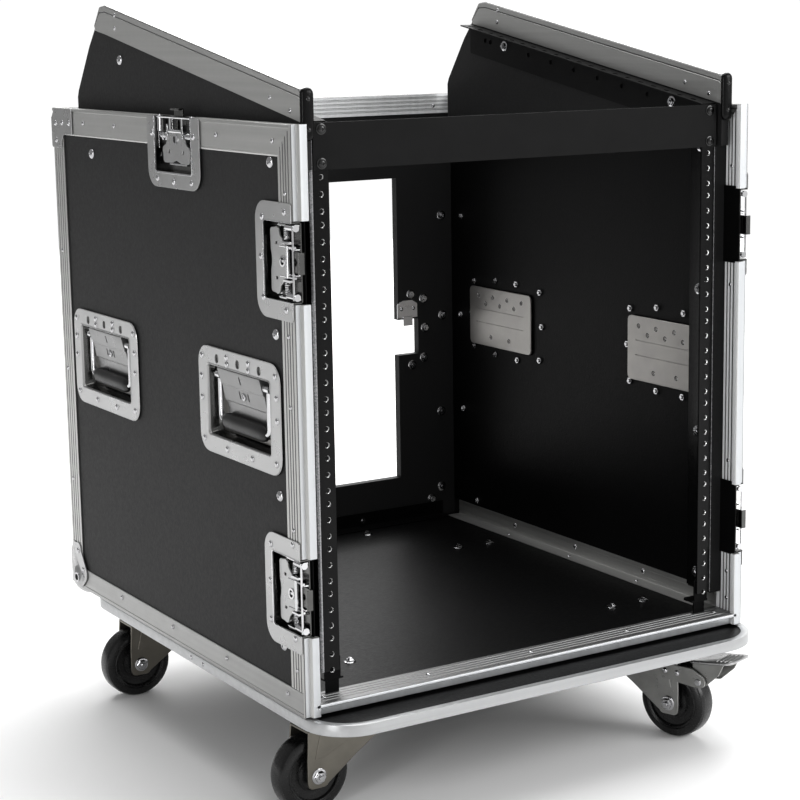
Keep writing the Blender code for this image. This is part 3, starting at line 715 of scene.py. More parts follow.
def rear_floor_angle():
    """Angle where the floor meets the rear wall."""
    section = [(REAR_IN - 0.0003, 0.011), (REAR_IN - 0.0003, 0.030), (REAR_IN - 0.0013, 0.030),
               (REAR_IN - 0.0014, 0.0130), (REAR_IN - 0.0024, 0.0120), (REAR_IN - 0.018, 0.0120),
               (REAR_IN - 0.018, 0.011)]
    bm = bmesh.new()
    slab(bm, bar_across, section, -0.2435, 0.2435)
    piece("rear_floor_angle", bm, POWDER)


def corner_brace(side, s):
    """Plate folded round the rear top corner."""
    shape = mm((511, 534), (536, 533), (542, 527), (544, 518), (569, 518), (571, 520), (571, 551),
               (563, 561), (560, 562.8), (513, 562.8), (511, 561))
    bm = bmesh.new()
    slab(bm, outer_wall(s), shape, *PLATE)
    rear = bmesh.new()
    rear_shape = mm((274.2, 520), (274.2, 552), (266, 561), (262, 562.8), (222, 562.8),
                    (218, 560), (218, 536), (222, 533.5), (246, 533), (250, 529), (251, 520))
    slab(rear, rear_outer, mirrored(s, rear_shape), *PLATE)
    piece(f"corner_brace_{side}", combined(bm, rear), STAMPED, bevel=0.0004)
    rivet_piece(f"corner_brace_rivets_{side}",
                (outer_wall(s), mm((519, 547), (539, 547), (558, 546), (557, 527)), 0.0012),
                (rear_outer, mirrored(s, mm((236, 547), (261, 546), (262, 527))), 0.0012),
                fix=rivets)


BALL, BALL_RADIUS = (0.257, 0.554, 0.011), 0.022
RING_PLACE = (0.5485, 0.012)
RING_BOSS = ((3.7, 2.0), (3.7, 5.1), (4.5, 5.5), (5.8, 5.2), (5.8, 3.0))


def ball_corner(side, s):
    """Stamped ball corner: a domed shell on two riveted flanges."""
    shell = bmesh.new()
    bmesh.ops.create_uvsphere(shell, u_segments=40, v_segments=24, radius=BALL_RADIUS)
    bmesh.ops.translate(shell, verts=shell.verts, vec=(s * BALL[0], *BALL[1:]))
    side_flange, rear_flange = bmesh.new(), bmesh.new()
    outline = (arc(0.5510, 0.0445, 0.0090, 180, 60, 6) + arc(0.5600, 0.0475, 0.0060, 70, 20, 3)
               + mm((570.9, 42), (570.9, 2), (540, 2))
               + arc(0.5395, 0.0190, 0.0125, 240, 140, 7))
    slab(side_flange, outer_wall(s), outline, 0.0003, 0.0014)
    flat = [(s * (u - 0.534 + 0.2375), v) for u, v in outline]      # moved on to the rear wall
    slab(rear_flange, rear_outer, flat, *PLATE)
    inside = block(s, (0.2, HALF + 0.0003), (0.5, DEPTH + 0.0003), (-0.0003, 0.1))
    hole = bmesh.new()
    turned(hole, outer_wall(s), *RING_PLACE, ((4.0, -10.0), (4.0, 10.0)))
    piece(f"ball_corner_{side}", shell, STAMPED,
          add=(side_flange, rear_flange), cut=(inside, hole))
    bm = bmesh.new()
    hollow_turned(bm, outer_wall(s), *RING_PLACE, RING_BOSS)
    rivets(bm, outer_wall(s), mm((550, 43.5), (536.5, 23)), PLATE_TOP)
    rivets(bm, rear_outer, mirrored(s, mm((253.5, 43.5), (240, 23))), PLATE_TOP)
    piece(f"ball_corner_rivets_{side}", bm, RIVET)


def slope_line(y):
    """Height of the slant panel's lower rail at a distance from the front."""
    return 0.5645 + (0.650 - 0.565) / (0.481 - 0.020) * (y - 0.020)


def slant_end(side, s):
    """Dark domed cap over the front end of the slant panel and its channel."""
    middle, z, width, height = (SLANT_IN + SLANT_OUT) / 2, 0.5710, 0.0134, 0.0490
    bm = bmesh.new()
    loops = [(rounded(0.0, 0.0, width - 2 * d, height - 2 * d, 0.0060 - d), h)
             for d, h in mm((0, 0), (0, 1.4), (0.5, 2.6), (1.5, 3.6), (3.0, 4.3), (4.6, 4.6))]
    loft(bm, lambda u, v, h: Vector((s * (middle + u), 0.0098 - h, z + v)), loops)
    piece(f"slant_end_cap_{side}", bm, GLOSS, smooth=50.0)
    bm = bmesh.new()
    for level in (0.557, 0.585):
        turned(bm, lambda u, v, h: Vector((s * u, 0.0056 - h, v)), 0.250, level, SMALL_RIVET)
    piece(f"slant_end_screws_{side}", bm, OXIDE)


def slant_cap(side, s):
    """Channel over the slant panel's edge, one groove on each side, with round ends."""
    depth, groove = 0.0290, ([0.0065], 0.0020, 0.0006)
    outer = [(SLANT_OUT + d, drop) for drop, d in grooved(depth, 0.0010, *groove)]
    top = [(SLANT_OUT - 0.0010, 0.0), (SLANT_IN + 0.0010, 0.0)]
    inner = [(SLANT_IN - d, drop) for drop, d in grooved(0.0010, depth, *groove)]
    inside = [(SLANT_IN + 0.0011, depth), (SLANT_IN + 0.0011, 0.0014),
              (SLANT_OUT - 0.0011, 0.0014), (SLANT_OUT - 0.0011, depth)]
    ends = (((0.0100, 0.5895), (0.0100, 0.5640)), ((0.0112, 0.5925), (0.0110, 0.5640)),
            ((0.0150, 0.5945), (0.0150, 0.5648)), ((0.4480, 0.6755), (0.4500, 0.6450)),
            ((0.4620, 0.6742), (0.4640, 0.6470)), ((0.4775, 0.6545), (0.4755, 0.6490)))

    def station(high, low):
        return lambda x, drop: Vector((s * x, *Vector(high).lerp(Vector(low), drop / depth)))

    bm = bmesh.new()
    strip(bm, outer + top + inner + inside, [station(*end) for end in ends])
    piece(f"slant_edge_cap_{side}", bm, ALU["y"],
          replaces=(f"slant_cap_{side}",), smooth=30.0,
          others=((GLOSS, lambda face: face.normal.y < -0.35),
                  # Groove faces get painted shade: a dark aluminium.
                  (GROOVE, pressed("x", SLANT_OUT - 0.0001)),
                  (GROOVE, pressed("x", SLANT_IN + 0.0001, -1.0))))
    slant_end(side, s)
    places = mm((422, 651), (421, 665), (69, 585), (30, 574))
    rivet_piece(f"slant_cap_rivets_{side}", (facing_side(s, SLANT_OUT), places),
                (facing_side(s, SLANT_IN, -1.0), places))
    bm = bmesh.new()
    turned(bm, facing_side(s, SLANT_OUT - 0.0013), 0.414, 0.617, BOLT_HEAD)
    piece(f"slant_screw_{side}", bm, RIVET)


# Rails and the blank panel --------------------------------------------------------------
def mixer_rail(side, s):
    """Angle inside the slant panel with slotted holes along the slope."""
    def band(front, back, low, high):
        return [(front, slope_line(front) - low), (back, slope_line(back) - low),
                (back, slope_line(back) - high), (front, slope_line(front) - high)]

    thick, shelf_edge, web_holes, bolt_line = 0.0015, 0.2250, 0.014, 0.013
    web = band(0.0190, 0.478, 0.035, 0.0003)
    flange = band(0.0190, 0.474, thick, 0.0)
    bm, shelf = bmesh.new(), bmesh.new()
    along = lambda u, v, h: Vector((s * h, u, v))
    slab(bm, along, web, RAIL_FLANGE_X, RAIL_FLANGE_X + thick)
    slab(shelf, along, flange, shelf_edge, RAIL_FLANGE_X + thick)
    holes = bmesh.new()
    for y in [0.130 + 0.0448 * i for i in range(6)] + [0.434, 0.445]:
        slab(holes, along, rounded(y, slope_line(y) - web_holes, 0.0066, 0.0050, 0.0024, 3),
             0.235, 0.250)
    top_holes = bmesh.new()
    for i in range(20):
        y = 0.040 + 0.0222 * i
        slab(top_holes, lambda u, v, h: Vector((s * u, v, slope_line(v) + h)),
             rounded(0.2315, y, 0.0050, 0.0070, 0.0024, 3), -0.006, 0.006)
    piece(f"mixer_rail_angle_{side}", bm, SATIN,
          replaces=(f"mixer_rail_{side}",), add=(shelf,), cut=(holes, top_holes), bevel=0.0003)
    rivet_piece(f"mixer_rail_bolts_{side}",
                (rail_flange(s), [(y, slope_line(y) - bolt_line) for y in (0.088, 0.404)]),
                fix=washered_bolts)


def rack_hole_heights():
    """Three holes to each of the twelve rack units, from the top down."""
    return [RACK_TOP_HOLE_Z - unit * RACK_UNIT - step
            for unit in range(12) for step in (0.0, RACK_STEP, 2 * RACK_STEP)]


def rack_rail(side, s):
    """Steel angle with a round bend, tapped holes and a foot bracket."""
    face, bend, thick, edge, foot = RAIL_FACE_Y, 0.0040, 0.002, 0.2240, 0.035
    bend_out = arc(RAIL_OUT_X - bend, face + bend, bend, -90, 0, 5)
    bend_in = arc(RAIL_OUT_X - bend, face + bend, bend - thick, 0, -90, 4)
    section = ([(edge, face + 0.0003), (edge + 0.0003, face)] + bend_out
               + [(RAIL_OUT_X, 0.0557), (0.2439, 0.0560), (RAIL_FLANGE_X, 0.0560)] + bend_in
               + [(edge, face + thick)])
    bm = bmesh.new()
    slab(bm, bar_up(s), section, foot, HEIGHT)
    holes = bmesh.new()
    for z in rack_hole_heights():
        turned(holes, rack_face, s * RACK_HOLE_X, z, ((2.8, -5.0), (2.8, 5.0)), 16)
    top = block(s, (0.2421, 0.25), (0.0198, 0.06), (0.5285, 0.58))
    piece(f"rack_rail_angle_{side}", bm, GLOSS,
          replaces=(f"rack_rail_{side}",), cut=(top, holes),
          # Faces of the round bend get the painted highlight.
          others=((BEND_HIGHLIGHT, lambda face: 0.35 < -face.normal.y < 0.96 and face.normal.x * s > 0.25),))
    # Black strip behind the tapped holes: painted shade, so the holes read dark instead of showing
    # what lies behind.
    bm = bmesh.new()
    hole_shade = mm((225.5, 52.5), (239.0, 52.5), (239.0, 563.0), (225.5, 563.0))
    slab(bm, rack_face, mirrored(s, hole_shade), -0.0036, -0.0021)
    piece(f"rack_backing_strip_{side}", bm, GLOSS)
    bm = bmesh.new()
    for z in rack_hole_heights():
        hollow_turned(bm, rack_face, s * RACK_HOLE_X, z,
                      ((2.75, -1.9), (2.75, -0.15), (2.30, -0.60), (2.10, -0.95), (2.25, -1.25),
                       (2.10, -1.55), (2.10, -1.9)), 16)
    piece(f"rack_threads_{side}", bm, THREAD)
    rivet_piece(f"rack_rail_bolts_{side}",
                (rail_flange(s), mm((40, 52), (40, 210), (40, 366), (40, 519))),
                fix=washered_bolts)
    rail_foot(side, s)


def rail_foot(side, s):
    """Bracket that stands the rack rail on the floor: a shelf between two upright legs."""
    shelf = mm((219, 18.9), (241, 18.9), (241, 36), (222, 36), (219, 33))
    upper = mm((222, 25), (240, 25), (240, 52), (226, 52), (222, 48))
    lower = mm((223, 11.0), (238, 11.0), (238, 25), (223, 25))
    bm = bmesh.new()
    slab(bm, floor_top, mirrored(s, shelf), 0.0144, 0.0164)
    slab(bm, facing_end(0.0188), mirrored(s, upper), 0.0, 0.0018)
    slab(bm, facing_end(0.0208), mirrored(s, lower), 0.0, 0.0018)
    piece(f"rack_rail_foot_{side}", bm, POWDER, bevel=0.0004)


def blank_panel_screws():
    """Four panel screws on washers; the panel itself is plain."""
    screw = ((5.4, 0.02), (5.4, 0.55), (5.1, 0.75), (3.9, 0.78), (3.8, 1.6), (3.0, 2.3),
             (1.6, 2.6), (1.3, 1.7), (0.4, 1.6))
    bm = bmesh.new()
    for _, s in SIDES:
        for drop in (0.0, 2 * RACK_STEP):
            turned(bm, facing_end(0.0145, -1.0), s * RACK_HOLE_X, RACK_TOP_HOLE_Z - drop,
                   screw, 18)
    piece("blank_panel_screws", bm, OXIDE)


# Recessed handles -----------------------------------------------------------------------
DISH_FLOOR = 0.2617           # |x| of the dish's floor
BAIL_X = 0.2668
BAIL_REACH = 0.0520           # from the middle of the handle to either side of the bail
DISH_HOLES = mm((-47, 26), (-16, 26), (16, 26), (47, 26), (-31, 17), (0, 17), (31, 17),
                (-20, -25), (20, -25))
HANDLE_RIVETS = mm((-78, 43), (78, 43), (-80, 0), (80, 0), (-77, -42), (77, -42), (-27, -45.5),
                   (27, -45.5), (-23, 47.5), (23, 47.5), (-23, 40.5), (23, 40.5), (80, 22),
                   (-80, 22))
HANDLE_BOLTS = {
    "rear": mm((504, 326), (456, 331), (410, 331), (360, 326), (512, 284), (356, 284),
               (505, 242), (457, 237), (408, 236), (361, 242)),
    "front": mm((183, 327), (135, 333), (88, 332), (188, 285), (183, 243), (135, 238), (89, 238)),
}


def handle_tray(place, side, s, y):
    """Pressed plate and dish in one sheet, with three dark ovals above the dish."""
    put = outer_wall(s)
    dish = DISH_FLOOR - HALF
    steps = ((0.1740, 0.1090, 0.0185, -0.0007), (0.1740, 0.1090, 0.0185, 0.0004),
             (0.1728, 0.1078, 0.0180, 0.0013), (0.1370, 0.0750, 0.0050, 0.0013),
             (0.1352, 0.0732, 0.0045, 0.0020), (0.1335, 0.0715, 0.0040, 0.0013),
             (0.1325, 0.0705, 0.0035, -0.0005), (0.1300, 0.0680, 0.0080, dish + 0.0020),
             (0.1260, 0.0640, 0.0080, dish), (0.1280, 0.0660, 0.0080, dish - 0.0012),
             (0.1320, 0.0700, 0.0080, dish + 0.0004), (0.1345, 0.0725, 0.0040, -0.0007))
    bm = bmesh.new()
    loft(bm, put, [(rounded(y, HANDLE_Z, width, height, radius), h)
                   for width, height, radius, h in steps], ring=True)
    ovals = bmesh.new()
    for dy in (-0.045, 0.0, 0.045):
        slab(ovals, put, rounded(y + dy, HANDLE_Z + 0.0435, 0.008, 0.009, 0.0038, 4), 0.0, 0.006)
    piece(f"handle_dish_{place}_{side}", bm, STAMPED,
          replaces=(f"handle_tray_{place}_{side}",), cut=(ovals,), smooth=32.0,
          # Faces sunk into the wall, the dish, get painted shade: dark chrome.
          others=((CHROME_PAINTED_SHADE, lambda face: abs(face.center.x) < HALF + 0.0002),))


def handle_floor(place, side, s, y):
    """Stepped spring plate in the dish, with slots and a middle screw; its steel is painted darker
    for the shade in the dish.
    """
    z = HANDLE_Z
    put = lambda u, v, h: Vector((s * (DISH_FLOOR + h), y + u, z + v))
    bm = bmesh.new()
    profile = mm((35.2, 0.4), (35.2, 12.4), (34.0, 12.6), (18.6, 8.6), (18.0, 7.4), (1.6, 4.2),
                 (0.9, 3.0), (-7.0, 1.2), (-26.0, 0.9), (-26.0, 0.1), (10.0, 0.1), (20.0, 0.4))
    slab(bm, lambda v, h, u: put(u, v, h), profile, -0.045, 0.045)
    slots = bmesh.new()
    for u in (-0.0090, 0.0090):
        slab(slots, put, rounded(u, 0.0110, 0.0022, 0.0080, 0.001, 3), 0.002, 0.02)
    slab(slots, put, rounded(0.0, 0.0270, 0.0022, 0.0080, 0.001, 3), 0.004, 0.02)
    piece(f"handle_spring_plate_{place}_{side}", bm, STEEL_PAINTED_SHADE,
          cut=(slots,), bevel=0.0004, smooth=30.0)
    bm = bmesh.new()
    turned(bm, lambda a, b, h: put(a, b, 0.0058 + h), 0.0, 0.0110,
           ((4.2, -0.4), (4.2, 1.0), (3.6, 1.4), (2.2, 1.5), (2.0, 0.8), (0.5, 0.7)), 18)
    for u in (-0.0500, 0.0500):
        slab(bm, put, [(u + a, v) for a, v in mm((-3.4, 20), (3.4, 20), (3.4, 33), (-3.4, 33))],
             0.0008, 0.0016)
    rivets(bm, outer_wall(s), [(y + u, z + v) for u, v in HANDLE_RIVETS], PLATE_TOP)
    piece(f"handle_rivets_{place}_{side}", bm, RIVET)


def handle_bail(place, side, s, y):
    """Steel bail with a rubber grip; it turns on a pin near the dish's top."""
    body = f"handle_bail_{place}_{side}"
    pivot_z, grip_z = HANDLE_Z + 0.026, HANDLE_Z - 0.0195
    bend, turns = 0.006, [math.pi * k / 10 for k in range(20)]
    bm = bmesh.new()
    loft(bm, bar_back(s), [
        ([(BAIL_X + 0.0054 * scale * math.cos(a), grip_z + 0.0086 * scale * math.sin(a))
          for a in turns], y - 0.0465 + 0.093 * t)
        for t, scale in ((0.0, 0.60), (0.04, 0.85), (0.10, 1.0), (0.3, 1.0), (0.5, 1.0),
                         (0.7, 1.0), (0.90, 1.0), (0.96, 0.85), (1.0, 0.60))])
    piece(f"grip_{place}_{side}", bm, RUBBER, body=body,
          replaces=(body,), smooth=30.0)
    spot = lambda reach, z: Vector((s * BAIL_X, y + reach, z))
    bm = bmesh.new()
    for t in (-1.0, 1.0):
        start, corner = spot(t * BAIL_REACH, pivot_z), spot(t * BAIL_REACH, grip_z + bend)
        points = [start, start.lerp(corner, 0.5), corner]
        points += [spot(t * (BAIL_REACH - bend + bend * math.cos(a)),
                        grip_z + bend - bend * math.sin(a)) for a in (0.5, 1.0, math.pi / 2)]
        points.append(spot(t * 0.040, grip_z))
        tube(bm, points, 0.0031, 12)
        tube(bm, [spot(t * 0.0480, pivot_z), spot(t * 0.0565, pivot_z)], 0.0046, 16)
    tube(bm, [spot(-0.0635, pivot_z), spot(0.0635, pivot_z)], 0.0022, 12)
    piece(f"bail_{place}_{side}", bm, CHROME, body=body)
    bm = bmesh.new()
    for t in (-1.0, 1.0):
        coil(bm, spot(t * 0.0310, pivot_z), Vector((0, t * 0.0150, 0)), 0.0036, 0.0007, 8)
    piece(f"bail_springs_{place}_{side}", bm, CHROME)


def dish_back(place, side, s, y):
    """Back of the dish inside the case, with its ring holes, and the bolts around it."""
    put = lambda u, v, h: Vector((s * (0.2600 - h), y + u, HANDLE_Z + v))
    bm = bmesh.new()
    rim = rounded(0.0, 0.0, 0.1340, 0.0740, 0.0060)
    loft(bm, put, [(rim, -0.0005), (rim, 0.0008), (rounded(0, 0, 0.1332, 0.0732, 0.0056), 0.0012)])
    lines, holes = bmesh.new(), bmesh.new()
    for v in (0.0095, -0.0075):
        slab(lines, put, rounded(0.0, v, 0.104, 0.0012, 0.0005, 2), 0.0003, 0.004)
    for u, v in DISH_HOLES:
        turned(holes, put, u, v, ((1.7, 0.1), (1.7, 4.0)), 14)
    piece(f"handle_dish_back_{place}_{side}", bm, POLISHED,
          cut=(lines, holes), smooth=30.0)
    bm = bmesh.new()
    for u, v in DISH_HOLES:
        hollow_turned(bm, put, u, v,
                      ((1.6, 0.2), (1.6, 1.0), (2.5, 1.5), (3.1, 1.1), (3.1, 0.5)), 16)
    piece(f"dish_rings_{place}_{side}", bm, RIVET)
    rivet_piece(f"handle_bolts_{place}_{side}",
                (inner_wall(s), HANDLE_BOLTS[place], SUNK), fix=washered_bolts)


# Butterfly latches ----------------------------------------------------------------------
LATCH_DEPTH = {"upper": 0.0560, "lower": 0.0560, "top": 0.0585}
LATCH_HALF = {"upper": 0.0378, "lower": 0.0378, "top": 0.0438}
LATCH_BACK = 0.2634           # |x| of the latch dish's inside
BACK_PLATE = (0.2606, 0.2616)
LATCH_FLOOR = 0.2646          # |x| on which what stands in the dish is set
WING = (0.2692, 0.2709)       # the wing's two faces
CAM_PLACE = (0.0235, 0.0)
LATCH_RIVETS = {
    "upper": mm((56, 39.5), (12, 46.5), (60, 2), (57, -36.5), (12, -44.5)),
    "lower": mm((57, 42.5), (13, 50.5), (60, 5.5), (60, -33.5), (12, -41.5)),
    "top": mm((18, 48.5), (19, -48.5), (64, 38.5), (66, 0), (65, -41.5)),
}


def latch_plate(place, side, s):
    """Cover plate with large round corners and the dish let into the wall."""
    put = latch_surface(s, place)
    reach, half = LATCH_DEPTH[place] + 0.0145, LATCH_HALF[place] + 0.0172
    start, radius, bend, low, high = 0.0004, 0.0185, 0.003, HALF + 0.0003, HALF + 0.0015
    inner, deep = LATCH_HALF[place] - 0.0012, LATCH_DEPTH[place] - 0.0012
    outline = ([(start, -half + 0.002), (start + 0.002, -half)]
               + arc(reach - radius, -half + radius, radius, -90, 0, 7)
               + arc(reach - radius, half - radius, radius, 0, 90, 7)
               + [(start + 0.002, half), (start, half - 0.002), (start, inner)]
               + arc(deep - bend, inner - bend, bend, 90, 0, 3)
               + arc(deep - bend, -inner + bend, bend, 0, -90, 3) + [(start, -inner)])
    bm, walls, floor, lip = bmesh.new(), bmesh.new(), bmesh.new(), bmesh.new()
    slab(bm, put, outline, low, high)
    sheet = 0.0011
    cup = ([(start, -inner)] + arc(deep - bend, -inner + bend, bend, -90, 0, 3)
           + arc(deep - bend, inner - bend, bend, 0, 90, 3) + [(start, inner)])
    outside = ([(start, inner + sheet)] + arc(deep - bend, inner - bend, bend + sheet, 90, 0, 3)
               + arc(deep - bend, -inner + bend, bend + sheet, 0, -90, 3)
               + [(start, -inner - sheet)])
    slab(walls, put, cup + outside, LATCH_BACK, low + 0.0004)
    slab(floor, put, list(reversed(outside)), LATCH_BACK, LATCH_BACK + sheet)
    rim = [(a - 0.0006, b) for a, b in cup] + [(a + 0.0012, b * 1.02) for a, b in reversed(cup)]
    slab(lip, put, rim, high - 0.0003, high + 0.0007)
    piece(f"latch_plate_{place}_{side}", bm, STAMPED,
          replaces=(f"latch_tray_{place}_{side}",), bevel=0.00035)
    # Walls and floor of the latch dish get painted shade: dark chrome.
    piece(f"latch_dish_{place}_{side}", combined(walls, floor), CHROME_PAINTED_SHADE)
    piece(f"latch_lip_{place}_{side}", lip, CHROME, bevel=0.0003)
    rivet_piece(f"latch_rivets_{place}_{side}",
                (lambda a, b, h: put(a, b, high + h), LATCH_RIVETS[place]), fix=rivets)


def latch_works(place, side, s):
    """What stays in the dish: two lugs, a cross bar, springs and a folded stop."""
    put = latch_surface(s, place)
    inner = LATCH_HALF[place] - 0.0012
    bm = bmesh.new()
    lug = (0.0085, 0.0165), (0.0225, 0.0165), (0.0225, 0.0190), (0.0085, 0.0190)
    guide = (0.0012, 0.0112), (0.0300, 0.0112), (0.0300, 0.0128), (0.0012, 0.0128)
    wall = ((0.0012, inner - 0.0035), (0.0340, inner - 0.0035), (0.0300, inner - 0.0015),
            (0.0012, inner - 0.0015))
    for t in (-1.0, 1.0):
        for outline, top in ((lug, 0.2722), (guide, 0.2688), (wall, 0.2712)):
            slab(bm, put, [(a, t * b) for a, b in outline], LATCH_FLOOR, top)
    slab(bm, put, [(0.0480, -0.020), (0.0500, -0.020), (0.0500, 0.020), (0.0480, 0.020)],
         LATCH_FLOOR, 0.2690)
    piece(f"latch_frame_{place}_{side}", bm, CHROME, bevel=0.0004)
    bm = bmesh.new()
    for t in (-1.0, 1.0):
        start = put(0.0200, t * 0.0205, 0.2680)
        coil(bm, start, put(0.0200, t * (inner - 0.0050), 0.2680) - start, 0.0026, 0.0006, 7)
        small_rivets(bm, lambda u, v, h: put(u, v, LATCH_FLOOR + h),
                     [(0.0400, t * (inner - 0.0050)), (0.0240, t * (inner - 0.0070))])
        cup = [put(a, t * (inner - 0.0045), 0.2694) for a in (-0.0005, 0.0005, 0.0150, 0.0160)]
        tube(bm, cup, 0.0034, 16)
        tube(bm, [put(0.0010, t * 0.0140, 0.2700), put(0.0300, t * 0.0140, 0.2700)], 0.0012, 8)
    tube(bm, [put(0.0015, -inner + 0.002, 0.2722), put(0.0015, inner - 0.002, 0.2722)], 0.0010, 8)
    piece(f"latch_springs_{place}_{side}", bm, CHROME)


def latch_wing(place, side, s):
    """Two-lobed turning wing with a cam washer; folds up about a pin along the edge."""
    body = f"latch_wing_{place}_{side}"
    put = latch_surface(s, place)
    lobe = [(0.0137, 0.0075)] + arc(0.0185, 0.0100, 0.0048, 180, 110, 3) + [(0.0290, 0.0240)]
    lobe += arc(0.0355, 0.0255, 0.0062, 130, 60, 3) + arc(0.0435, 0.0265, 0.0042, 60, -10, 4)
    lobe += [(0.0474, 0.0100), (0.0455, 0.0040), (0.0450, 0.0)]
    other_lobe = [(a, -b) for a, b in reversed(lobe[:-1])]
    bm = bmesh.new()
    slab(bm, put, lobe + other_lobe, *WING)
    holes = bmesh.new()
    turned(holes, lambda u, v, h: put(u, v, 0.27 + h), *CAM_PLACE, ((4.6, -4.0), (4.6, 4.0)), 20)
    for t in (-1.0, 1.0):
        slab(holes, put, rounded(0.0362, t * 0.0165, 0.0042, 0.0028, 0.0013, 3), 0.266, 0.274)
    piece(f"wing_{place}_{side}", bm, STAMPED, body=body, replaces=(body,),
          cut=(holes,), bevel=0.0004)
    bm = bmesh.new()
    face = lambda u, v, h: put(u, v, WING[1] + h)
    hollow_turned(bm, face, *CAM_PLACE,
                  ((4.5, -1.4), (4.5, 0.3), (5.6, 0.3), (5.4, 1.0), (3.6, 1.1), (3.4, -1.4)), 22)
    slab(bm, face, [(0.0205, -0.0011), (0.0265, -0.0011), (0.0265, 0.0011), (0.0205, 0.0011)],
         -0.0012, 0.0002)
    tube(bm, [put(0.0155, -0.0150, 0.2700), put(0.0155, 0.0150, 0.2700)], 0.0021, 12)
    piece(f"wing_cam_{place}_{side}", bm, CHROME, body=body)


def latch_hook(place, side, s):
    """Slotted draw hook with a lip past the case's edge."""
    body = f"latch_hook_{place}_{side}"
    put = latch_surface(s, place)
    bm = bmesh.new()
    side_view = mm((-7.9, 265.3), (30, 265.3), (30, 266.9), (-6.2, 266.9), (-5.8, 268.0),
                   (-5.8, 271.3), (-7.2, 271.4), (-7.9, 270.6))
    slab(bm, lambda a, h, b: put(a, b, h), side_view, -0.0100, 0.0100)
    slot = bmesh.new()
    slab(slot, put, rounded(0.012, 0.0, 0.016, 0.0060, 0.0025, 4), 0.26, 0.28)
    # The draw hook is chrome painted dark for the shade it is seen in.
    piece(f"hook_{place}_{side}", bm, CHROME_PAINTED_SHADE, body=body, replaces=(body,),
          cut=(slot,), bevel=0.0003)


def latch_back(place, side, s):
    """Black backs of the latch dishes inside the case."""
    put = latch_surface(s, place)
    half, deep = LATCH_HALF[place] + 0.003, LATCH_DEPTH[place] + 0.003
    start = -0.0020 if place != "top" else 0.0300
    shape = rounded((deep + start) / 2, 0.0, deep - start, 2 * half, 0.006)
    bm = bmesh.new()
    slab(bm, put, shape, *BACK_PLATE)
    piece(f"latch_back_{place}_{side}", bm, POWDER, bevel=0.0004)
    rivet_piece(f"latch_back_rivets_{place}_{side}",
                (lambda u, v, h: put(u, v, BACK_PLATE[0] - h),
                 [(deep - 0.006, t * (half - 0.008)) for t in (-1, 0, 1)]))


# Loose hardware on the panels -------------------------------------------------------------
def side_hardware(side, s):
    bm = bmesh.new()
    for u, v in mm((462, 515), (42, 527), (39, 366), (40, 210), (40, 62)):
        turned(bm, outer_wall(s), u, v, lifted(BOLT_HEAD, -0.0013), 18)
    piece(f"side_bolts_{side}", bm, RIVET)
    rivet_piece(f"trim_rivets_{side}",
                (outer_wall(s), mm((429, 15), (294, 15), (165, 15), (34, 15), (13, 44), (16, 76),
                                   (12.5, 182), (12.5, 300), (12.5, 367), (12.5, 500))),
                (outer_wall(s), mm((34, 547), (150, 548), (395, 548), (480, 548)), 0.0004),
                (outer_wall(s), mm((557.5, 130), (557.5, 262), (557.5, 400))),
                (rear_outer, [(s * 0.258, v) for v in (0.130, 0.262, 0.400)]))
    bm = bmesh.new()
    washered_bolts(bm, inner_wall(s), mm((532, 406), (535, 279), (531, 156), (511, 284), (502, 38),
                                         (72, 357)), SUNK)
    rivets(bm, facing_side(s, PANEL_IN - 0.0016, -1.0), mm((416, 22), (289, 22), (158, 22)))
    small_rivets(bm, floor_top, [(s * 0.2525, y) for y in (0.416, 0.289, 0.158)], 0.0013)
    piece(f"inside_bolts_{side}", bm, RIVET)


def rear_hardware():
    """Bolts through the rear wall and the floor, and the two keepers inside."""
    places = mm((199, 308), (218, 301), (220, 263), (218, 224), (200, 216), (247, 407), (247, 277),
                (244, 150), (243, 49), (227, 34), (120, 20))
    bm = bmesh.new()
    for _, s in SIDES:
        washered_bolts(bm, rear_inner, mirrored(s, places), SUNK)
        rivets(bm, rear_outer, mirrored(s, places), -0.0016)
    piece("rear_wall_bolts", bm, RIVET)
    places = mm((168, 95), (212, 95), (168, 404), (210, 399), (108, 524))
    rivet_piece("floor_bolts", *((floor_top, mirrored(s, places), SUNK) for _, s in SIDES),
                fix=washered_bolts)
    keeper = mm((178, 278), (208, 278), (208, 296), (200, 301), (186, 301), (178, 296))
    tongue = mm((186, 268), (200, 268), (200, 280), (186, 280))
    bm = bmesh.new()
    for _, s in SIDES:
        slab(bm, rear_inner, mirrored(s, keeper), 0.0002, 0.0016)
        slab(bm, rear_inner, mirrored(s, tongue), 0.0014, 0.0030)
        small_rivets(bm, rear_inner, mirrored(s, mm((184, 290), (202, 290))), 0.0016)
    piece("rear_keepers", bm, CHROME, bevel=0.0003)


def sill_rivets():
    """Rivets in the sill, and in the top trim's flange on the rear wall."""
    rivet_piece("sill_rivets",
                (facing_up(SILL_TOP),
                 [(0.250 * t, 0.0130) for t in (-0.98, -0.5, 0.0, 0.5, 0.98)]),
                (facing_end(DEPTH - REAR_WALL, -1.0),
                 [(t * 0.236, HEIGHT - 0.016) for t in (-1, 0, 1)]))


# Caster board and casters -----------------------------------------------------------------
def board_stations():
    """Stations round the caster board's edge, thirteen to each round corner."""
    corner, x, rear, front = 0.050, 0.272, 0.534, -0.044
    middles = ((x - corner, rear - corner, 0), (corner - x, rear - corner, 90),
               (corner - x, front + corner, 180), (x - corner, front + corner, 270))

    def station(cx, cy, c, n):
        def place(d, z):
            swell = 0.0008 * (1.0 - min(d / 0.0012, 1.0))
            return Vector((cx + (corner - d + swell) * c, cy + (corner - d) * n, z))
        return place

    for cx, cy, turn in middles:
        for i in range(13):
            angle = math.radians(turn + 90 * i / 12)
            yield station(cx, cy, math.cos(angle), math.sin(angle))


